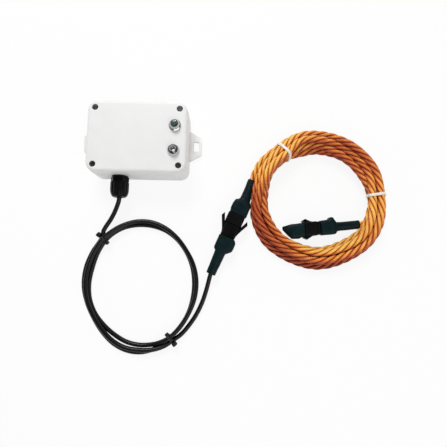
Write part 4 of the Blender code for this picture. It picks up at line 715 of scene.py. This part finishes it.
def rope_material(colours):
    """Orange twisted strands with painted light and shade: golden painted highlights on the
    crests, red-brown painted shade in the grooves, painted light on the top and +Y side and
    painted shade round the coil, with fine fibres.
    """
    material, tree, shader = empty_material("Sensing rope strands")
    place = node(tree, "ShaderNodeUVMap", uv_map="strand")
    split = tree.nodes.new("ShaderNodeSeparateXYZ")
    wire(tree, place, "UV", split, "Vector")
    turned = node(tree, "ShaderNodeMath", operation="MULTIPLY")
    turned.inputs[1].default_value = 2 * math.pi
    wire(tree, split, "Y", turned, 0)
    crest = node(tree, "ShaderNodeMath", operation="COSINE")
    wire(tree, turned, "Value", crest, 0)
    effect = node(tree, "ShaderNodeGroup", node_tree=drawn_lines(), Along=0.8, Across=26.0)
    wire(tree, place, "UV", effect, "Vector")
    # Painted light and shade across each strand: highest on the crest, lowest in the grooves.
    level = node(tree, "ShaderNodeMapRange", clamp=True, From_Min=-0.255, From_Max=0.72)
    wire(tree, crest, "Value", level, "Value")
    # The second map's X is the painted light on the top and +Y side, its Y the painted shade round
    # the coil; both move the place on the colour ramp below.
    lie = node(tree, "ShaderNodeUVMap", uv_map="lie")
    height = tree.nodes.new("ShaderNodeSeparateXYZ")
    wire(tree, lie, "UV", height, "Vector")
    total = level.outputs["Result"]
    for mask, share in ((height.outputs["X"], ROPE_LIT_SIDE_SHARE),
                        (height.outputs["Y"], -ROPE_PAINTED_SHADE_SHARE),
                        (effect.outputs["Blotch"], ROPE_BLOTCH_SHARE),
                        (effect.outputs["Drift"], ROPE_DRIFT_SHARE)):
        added = node(tree, "ShaderNodeMath", operation="MULTIPLY_ADD")
        added.inputs[1].default_value = share
        tree.links.new(mask, added.inputs[0])
        tree.links.new(total, added.inputs[2])
        total = added.outputs["Value"]
    middle = 0.5 * (ROPE_BLOTCH_SHARE + ROPE_DRIFT_SHARE)
    spread = node(tree, "ShaderNodeMapRange", From_Min=middle - 0.12,
                  From_Max=1.0 + ROPE_LIT_SIDE_SHARE + middle)
    tree.links.new(total, spread.inputs["Value"])
    ramp = tree.nodes.new("ShaderNodeValToRGB")
    stops = ramp.color_ramp.elements
    stops[0].position, stops[0].color = ROPE_RAMP[0], (*colours.rope_groove_shade, 1.0)
    stops[1].position, stops[1].color = ROPE_RAMP[-1], (*colours.rope_crest_highlight, 1.0)
    between = (colours.rope_flank_shade, colours.rope_middle, colours.rope_shoulder)
    for position, colour in zip(ROPE_RAMP[1:-1], between):
        stops.new(position).color = (*colour, 1.0)
    wire(tree, spread, "Result", ramp, "Fac")
    fibres = blend_colours(tree, effect.outputs["Height"], 0.3, 0.62,
                           (0.66, 0.52, 0.44), (1.0, 1.0, 1.0))
    mixed = node(tree, "ShaderNodeMix", data_type="RGBA", blend_type="MULTIPLY")
    mixed.inputs["Factor"].default_value = 0.75
    wire(tree, ramp, "Color", mixed, "A")
    tree.links.new(fibres, mixed.inputs["B"])
    wire(tree, mixed, "Result", shader, "Base Color")
    gloss = blend_values(tree, effect.outputs["Height"], 0.38, 0.55)
    tree.links.new(gloss, shader.inputs["Roughness"])
    bump = node(tree, "ShaderNodeBump", Strength=0.45, Distance=0.00018)
    wire(tree, effect, "Height", bump, "Height")
    wire(tree, bump, "Normal", shader, "Normal")
    shader.inputs["Specular IOR Level"].default_value = 0.22
    return material


def shrunk_material(colours):
    """Dark blue-green shrink tube with a satin skin."""
    grey = tuple(colours.sleeve_grey)
    return moulded("Shrink sleeve", tuple(0.75 * c for c in grey), tuple(1.35 * c for c in grey),
                   (0.34, 0.48), 900.0, 140.0, 0.00006, specular=0.12)


def tie_black():
    """Black nylon of the cable's ties."""
    return moulded("Black nylon tie", (0.004, 0.004, 0.004), (0.008, 0.008, 0.008), (0.32, 0.44),
                   specular=0.35)


def tie_white():
    """White nylon of the rope's ties."""
    return moulded("White nylon tie", (0.80, 0.74, 0.70), (0.90, 0.86, 0.83), (0.35, 0.48),
                   1500.0, 200.0)


def dark_zinc():
    """Dark zinc plating of the screws and the key's spring."""
    return plated("Dark zinc plating", (0.085, 0.083, 0.078), (0.25, 0.40))


def oval_place(angle):
    """A place on the cable's oval and the outward direction there."""
    a = math.radians(angle)
    on = Vector((CABLE_HALF[0] * math.cos(a), CABLE_HALF[1] * math.sin(a), 0.0))
    out = Vector((math.cos(a) / CABLE_HALF[0], math.sin(a) / CABLE_HALF[1], 0.0)).normalized()
    return Vector((*CABLE_CENTRE, 0.0)) + on, out


class LeakSensorColours(bpy.types.PropertyGroup):
    """The colours of the finishes."""

    # The rope's colours are steps from painted shade to painted light: groove and flank are
    # painted shade, crest a painted highlight.
    rope_crest_highlight: bpy.props.FloatVectorProperty(
        name="Rope crest", description="Colour of the strands where they stand out",
        subtype="COLOR", size=3, min=0.0, max=1.0, default=(1.0, 0.60, 0.13))
    rope_shoulder: bpy.props.FloatVectorProperty(
        name="Rope shoulder", description="Colour of the strands just off the crest",
        subtype="COLOR", size=3, min=0.0, max=1.0, default=(0.94, 0.38, 0.062))
    rope_middle: bpy.props.FloatVectorProperty(
        name="Rope middle", description="Colour of the strands between crest and side",
        subtype="COLOR", size=3, min=0.0, max=1.0, default=(0.56, 0.120, 0.032))
    rope_flank_shade: bpy.props.FloatVectorProperty(
        name="Rope flank", description="Colour of the strands' sides",
        subtype="COLOR", size=3, min=0.0, max=1.0, default=(0.37, 0.050, 0.019))
    rope_groove_shade: bpy.props.FloatVectorProperty(
        name="Rope groove", description="Colour deep between the strands",
        subtype="COLOR", size=3, min=0.0, max=1.0, default=(0.060, 0.004, 0.002))
    case_white: bpy.props.FloatVectorProperty(
        name="Case", description="Colour of the moulded box",
        subtype="COLOR", size=3, min=0.0, max=1.0, default=(0.81, 0.81, 0.805))
    cable_black: bpy.props.FloatVectorProperty(
        name="Cable", description="Colour of the cable's jacket",
        subtype="COLOR", size=3, min=0.0, max=1.0, default=(0.0014, 0.0014, 0.0016))
    sleeve_grey: bpy.props.FloatVectorProperty(
        name="Shrink sleeve", description="Colour of the shrink tube on the connectors",
        subtype="COLOR", size=3, min=0.0, max=1.0, default=(0.0010, 0.0095, 0.0115))


class LeakSensorSizes(bpy.types.PropertyGroup):
    """The sizes of the dressed pieces."""

    cable_diameter: bpy.props.FloatProperty(
        name="Cable diameter", description="Outer diameter of the cable",
        unit="LENGTH", default=0.0042, min=0.002, max=0.01)
    rope_diameter: bpy.props.FloatProperty(
        name="Rope diameter", description="Outer diameter of the sensing rope",
        unit="LENGTH", default=0.0072, min=0.004, max=0.02)
    rope_pitch: bpy.props.FloatProperty(
        name="Rope lay", description="Length in which a strand goes once round the rope",
        unit="LENGTH", default=0.036, min=0.01, max=0.1)
    rope_tie_width: bpy.props.FloatProperty(
        name="Rope tie width", description="Width of the white ties round the rope's coil",
        unit="LENGTH", default=0.0026, min=0.001, max=0.01)
    cable_tie_width: bpy.props.FloatProperty(
        name="Cable tie width", description="Width of the black ties round the cable's coil",
        unit="LENGTH", default=0.0026, min=0.001, max=0.01)
    floor_span: bpy.props.FloatProperty(
        name="Floor", description="Width of the pale floor",
        unit="LENGTH", default=6.0, min=1.0, max=20.0)


class LEAK_OT_stage(bpy.types.Operator):
    """Makes the camera, the lamps, the world and the pale floor"""

    bl_idname = "leak.stage"
    bl_label = "Stage"

    def execute(self, context):
        scene = context.scene
        scene.view_settings.view_transform = "Standard"
        lens = bpy.data.cameras.new("Camera")
        lens.sensor_width = SENSOR_MM
        lens.lens = LENS_MM
        lens.clip_start = 0.01
        lens.clip_end = 20.0
        camera = bpy.data.objects.new("Camera", lens)
        scene.collection.objects.link(camera)
        turn = Matrix((CAMERA_RIGHT, CAMERA_UP, CAMERA_BACK)).transposed()
        camera.matrix_world = Matrix.Translation(EYE) @ turn.to_4x4()
        scene.camera = camera

        world = bpy.data.worlds.new("Soft studio")
        world.use_nodes = True
        tree = world.node_tree
        back = tree.nodes["Background"]
        place = tree.nodes.new("ShaderNodeTexCoord")
        split = tree.nodes.new("ShaderNodeSeparateXYZ")
        wire(tree, place, "Generated", split, "Vector")
        strength = node(tree, "ShaderNodeMapRange", interpolation_type="SMOOTHSTEP",
                        From_Min=0.05, From_Max=0.95, To_Min=HORIZON_STRENGTH,
                        To_Max=ZENITH_STRENGTH)
        wire(tree, split, "Z", strength, "Value")
        wire(tree, strength, "Result", back, "Strength")
        back.inputs["Color"].default_value = (1.0, 1.0, 1.0, 1.0)
        scene.world = world

        for name, place, aim, size, power in LAMPS:
            lamp = bpy.data.lights.new(name, "AREA")
            lamp.shape = "SQUARE"
            lamp.size = size
            lamp.energy = power
            shown = bpy.data.objects.new(name, lamp)
            scene.collection.objects.link(shown)
            shown.location = place
            turn = (Vector(aim) - Vector(place)).to_track_quat("-Z", "Y")
            shown.rotation_euler = turn.to_euler()

        half = context.scene.leak_sizes.floor_span / 2
        mesh = bpy.data.meshes.new("Floor")
        mesh.from_pydata([(-half, -half, 0), (half, -half, 0), (half, half, 0), (-half, half, 0)],
                         [], [(0, 1, 2, 3)])
        floor = bpy.data.objects.new("Floor", mesh)
        floor.location.z = -FLOOR_DROP
        scene.collection.objects.link(floor)
        material, tree, shader = empty_material("Pale floor")
        shader.inputs["Base Color"].default_value = (FLOOR_GREY, FLOOR_GREY, FLOOR_GREY, 1.0)
        shader.inputs["Roughness"].default_value = 0.75
        shader.inputs["Specular IOR Level"].default_value = 0.2
        path = tree.nodes.new("ShaderNodeLightPath")
        seen = node(tree, "ShaderNodeMath", operation="ADD", use_clamp=True)
        wire(tree, path, "Is Camera Ray", seen, 0)
        wire(tree, path, "Is Glossy Ray", seen, 1)
        more = node(tree, "ShaderNodeMath", operation="ADD", use_clamp=True)
        wire(tree, seen, "Value", more, 0)
        wire(tree, path, "Is Transmission Ray", more, 1)
        share = node(tree, "ShaderNodeMath", operation="MULTIPLY")
        share.inputs[1].default_value = FLOOR_GLOW
        wire(tree, more, "Value", share, 0)
        glow = node(tree, "ShaderNodeEmission", Strength=1.0)
        mix = tree.nodes.new("ShaderNodeMixShader")
        wire(tree, share, "Value", mix, "Fac")
        wire(tree, shader, "BSDF", mix, 1)
        wire(tree, glow, "Emission", mix, 2)
        tree.links.new(mix.outputs["Shader"], tree.nodes["Material Output"].inputs["Surface"])
        mesh.materials.append(material)
        return {"FINISHED"}


class LEAK_OT_sleeves(bpy.types.Operator):
    """Shrinks a sleeve over each end of the two connectors"""

    bl_idname = "leak.sleeves"
    bl_label = "Shrunk sleeves"

    def execute(self, context):
        for name, solid, place, angle, table, lump, mouth, seed in (
            ("sleeve_on_cable", "cable_sleeve", CONNECTOR_PLACE, CONNECTOR_ANGLE, CABLE_SLEEVE,
             CABLE_SLEEVE_LUMP, 0, 1.7),
            ("sleeve_on_rope", "rope_sleeve", CONNECTOR_PLACE, CONNECTOR_ANGLE, ROPE_SLEEVE,
             ROPE_SLEEVE_LUMP, 1, 4.1),
            ("sleeve_on_rope_end", "end_sleeve", END_PLACE, END_ANGLE, END_SLEEVE,
             END_SLEEVE_LUMP, 0, 7.9),
            ("cap_on_rope_end", "end_cap", END_PLACE, END_ANGLE, END_CAP, END_CAP_LUMP, None,
             11.3),
        ):
            mesh = sleeve_mesh(name, place, angle, table, lump, mouth, seed)
            piece = new_object(name, mesh, shrunk_material(context.scene.leak_colours))
            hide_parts(solid)
        return {"FINISHED"}


class LEAK_OT_cable(bpy.types.Operator):
    """Lays the black cable from the gland through its coil to the connector"""

    bl_idname = "leak.cable"
    bl_label = "Cable"

    def execute(self, context):
        sizes = context.scene.leak_sizes
        black = context.scene.leak_colours.cable_black
        line = cable_route()
        curve = bpy.data.curves.new("sensor_cable", "CURVE")
        curve.dimensions = "3D"
        curve.bevel_depth = sizes.cable_diameter / 2
        curve.bevel_resolution = 5
        curve.use_fill_caps = True
        spline = curve.splines.new("POLY")
        spline.points.add(len(line) - 1)
        for point, place in zip(spline.points, line):
            point.co = (*place, 1.0)
        spline.use_smooth = True
        pale = tuple(1.5 * c for c in black)
        jacket = moulded("Cable jacket", tuple(black), pale, (0.26, 0.36), 1500.0, 90.0, 0.00003,
                         specular=0.27)
        piece = new_object("sensor_cable", curve, jacket)
        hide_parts("cable_lead", "cable_coil", "cable_tail")
        knobs = 0
        for i, angle in enumerate(CABLE_TIE_ANGLES):
            origin, outward = oval_place(angle)
            spots = crossings(line, origin, outward, STRAP_REACH)
            mesh = strap_mesh(f"cable_strap_{i + 1}", spots, sizes.cable_diameter / 2, origin,
                              outward, sizes.cable_tie_width, CABLE_STRAP_THICK)
            strap = new_object(f"cable_strap_{i + 1}", mesh, tie_black())
            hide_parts(f"cable_tie_{i + 1}")
            outs = [spot[0] for spot in spots]
            for end, size in ((max(outs) + KNOB_APART, KNOB_OUTER),
                              (min(outs) - KNOB_APART, KNOB_INNER)):
                spot = origin + outward * end
                spot.z = KNOB_HEIGHT
                turned = math.degrees(math.atan2(outward.y, outward.x))
                knobs += 1
                name = f"cable_strap_knob_{knobs}"
                mesh = knob_mesh(name, spot, turned, size, KNOB_CORNER)
                knob = new_object(name, mesh, tie_black())
        return {"FINISHED"}


class LEAK_OT_rope(bpy.types.Operator):
    """Lays the four-strand sensing rope in its coil"""

    bl_idname = "leak.rope"
    bl_label = "Sensing rope"

    def execute(self, context):
        sizes = context.scene.leak_sizes
        line = rope_route(sizes.rope_diameter)
        mesh = strand_rope_mesh("sensing_rope", line, sizes.rope_diameter, sizes.rope_pitch, 4, 14)
        piece = new_object("sensing_rope", mesh, rope_material(context.scene.leak_colours))
        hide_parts("rope_coil")
        for i, angle in enumerate(ROPE_TIE_ANGLES):
            a = math.radians(angle)
            outward = Vector((math.cos(a), math.sin(a), 0.0))
            origin = Vector((*ROPE_CENTRE, 0.0)) + outward * 0.055
            spots = crossings(line, origin, outward, STRAP_REACH)
            mesh = strap_mesh(f"rope_strap_{i + 1}", spots, sizes.rope_diameter / 2 - 0.0002,
                              origin, outward, sizes.rope_tie_width, ROPE_STRAP_THICK)
            strap = new_object(f"rope_strap_{i + 1}", mesh, tie_white())
            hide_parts(f"coil_tie_{i + 1}")
        return {"FINISHED"}


class LEAK_OT_spring(bpy.types.Operator):
    """Makes the key's spring as a piece of its own in dark zinc"""

    bl_idname = "leak.spring"
    bl_label = "Key spring"

    def execute(self, context):
        solid = frame["nodes"]["button_spring"]
        mesh = solid.data.copy()
        mesh.transform(solid.matrix_world)
        mesh.materials.clear()
        piece = new_object("key_spring", mesh, dark_zinc())
        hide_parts("button_spring")
        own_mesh(piece)
        return {"FINISHED"}


class LEAK_OT_finishes(bpy.types.Operator):
    """Gives each kept solid its finish"""

    bl_idname = "leak.finishes"
    bl_label = "Finishes"

    def execute(self, context):
        colours = context.scene.leak_colours
        white = tuple(colours.case_white)
        made = {
            "white_abs": moulded("White moulded box", tuple(0.97 * c for c in white), white,
                                 (0.40, 0.50)),
            "black_nylon": moulded("Black nylon", (0.0008, 0.0008, 0.0010),
                                   (0.0020, 0.0020, 0.0022), (0.30, 0.42), specular=0.12),
            "black_rubber": moulded("Black rubber", (0.004, 0.004, 0.004), (0.008, 0.008, 0.008),
                                    (0.6, 0.75), specular=0.25),
            "black_pvc": moulded("Black cable inside", (0.01, 0.01, 0.01), (0.014, 0.014, 0.014),
                                 (0.3, 0.4)),
            "shrink_sleeve": shrunk_material(colours),
            "chrome_plate": plated("Bright plating", (0.60, 0.60, 0.62), (0.04, 0.12)),
            "steel": dark_zinc(),
            "brass": plated("Drawn brass", (0.72, 0.52, 0.22), (0.18, 0.30)),
            "green_lens": moulded("Green lens", (0.002, 0.030, 0.018), (0.004, 0.060, 0.035),
                                  (0.06, 0.12), coat=0.6),
            "board_green": moulded("Solder mask", (0.005, 0.10, 0.04), (0.01, 0.16, 0.07),
                                   (0.25, 0.35)),
            "rope_orange": moulded("Rope core", (0.5, 0.2, 0.05), (0.6, 0.25, 0.06), (0.5, 0.6)),
            "white_nylon": tie_white(),
            "cell_wrap": moulded("Cell wrap", (0.30, 0.32, 0.35), (0.40, 0.42, 0.45),
                                 (0.2, 0.3)),
            "red_pvc": moulded("Core wire jacket", (0.45, 0.02, 0.012), (0.6, 0.03, 0.02),
                               (0.3, 0.4)),
        }
        slots = {part["node"]: part["material_slot"] for part in frame["record"]["subparts"]}
        for name, piece in frame["nodes"].items():
            finish = made[slots[name]]
            piece.data.materials.clear()
            piece.data.materials.append(finish)
        return {"FINISHED"}


class LEAK_PT_panel(bpy.types.Panel):
    """Lists the steps that dress the leak sensor"""

    bl_idname = "LEAK_PT_panel"
    bl_label = "Leak Sensor"
    bl_space_type = "VIEW_3D"
    bl_region_type = "UI"
    bl_category = "Leak Sensor"

    def draw(self, context):
        column = self.layout.column()
        for step in STEPS:
            column.operator(step.bl_idname)
        for group in (context.scene.leak_colours, context.scene.leak_sizes):
            for name in group.__annotations__:
                column.prop(group, name)


STEPS = (LEAK_OT_stage, LEAK_OT_sleeves, LEAK_OT_cable, LEAK_OT_rope, LEAK_OT_spring,
         LEAK_OT_finishes)
CLASSES = (LeakSensorColours, LeakSensorSizes, *STEPS, LEAK_PT_panel)


def register():
    """Registers the classes and the scene's settings."""
    for item in CLASSES:
        bpy.utils.register_class(item)
    bpy.types.Scene.leak_colours = bpy.props.PointerProperty(type=LeakSensorColours)
    bpy.types.Scene.leak_sizes = bpy.props.PointerProperty(type=LeakSensorSizes)


def unregister():
    """Removes what register added."""
    del bpy.types.Scene.leak_sizes
    del bpy.types.Scene.leak_colours
    for item in reversed(CLASSES):
        bpy.utils.unregister_class(item)


def main():
    """Dresses the frame step by step."""
    register()
    bpy.ops.leak.stage()
    bpy.ops.leak.sleeves()
    bpy.ops.leak.cable()
    bpy.ops.leak.rope()
    bpy.ops.leak.spring()
    bpy.ops.leak.finishes()


if __name__ == "__main__":
    main()
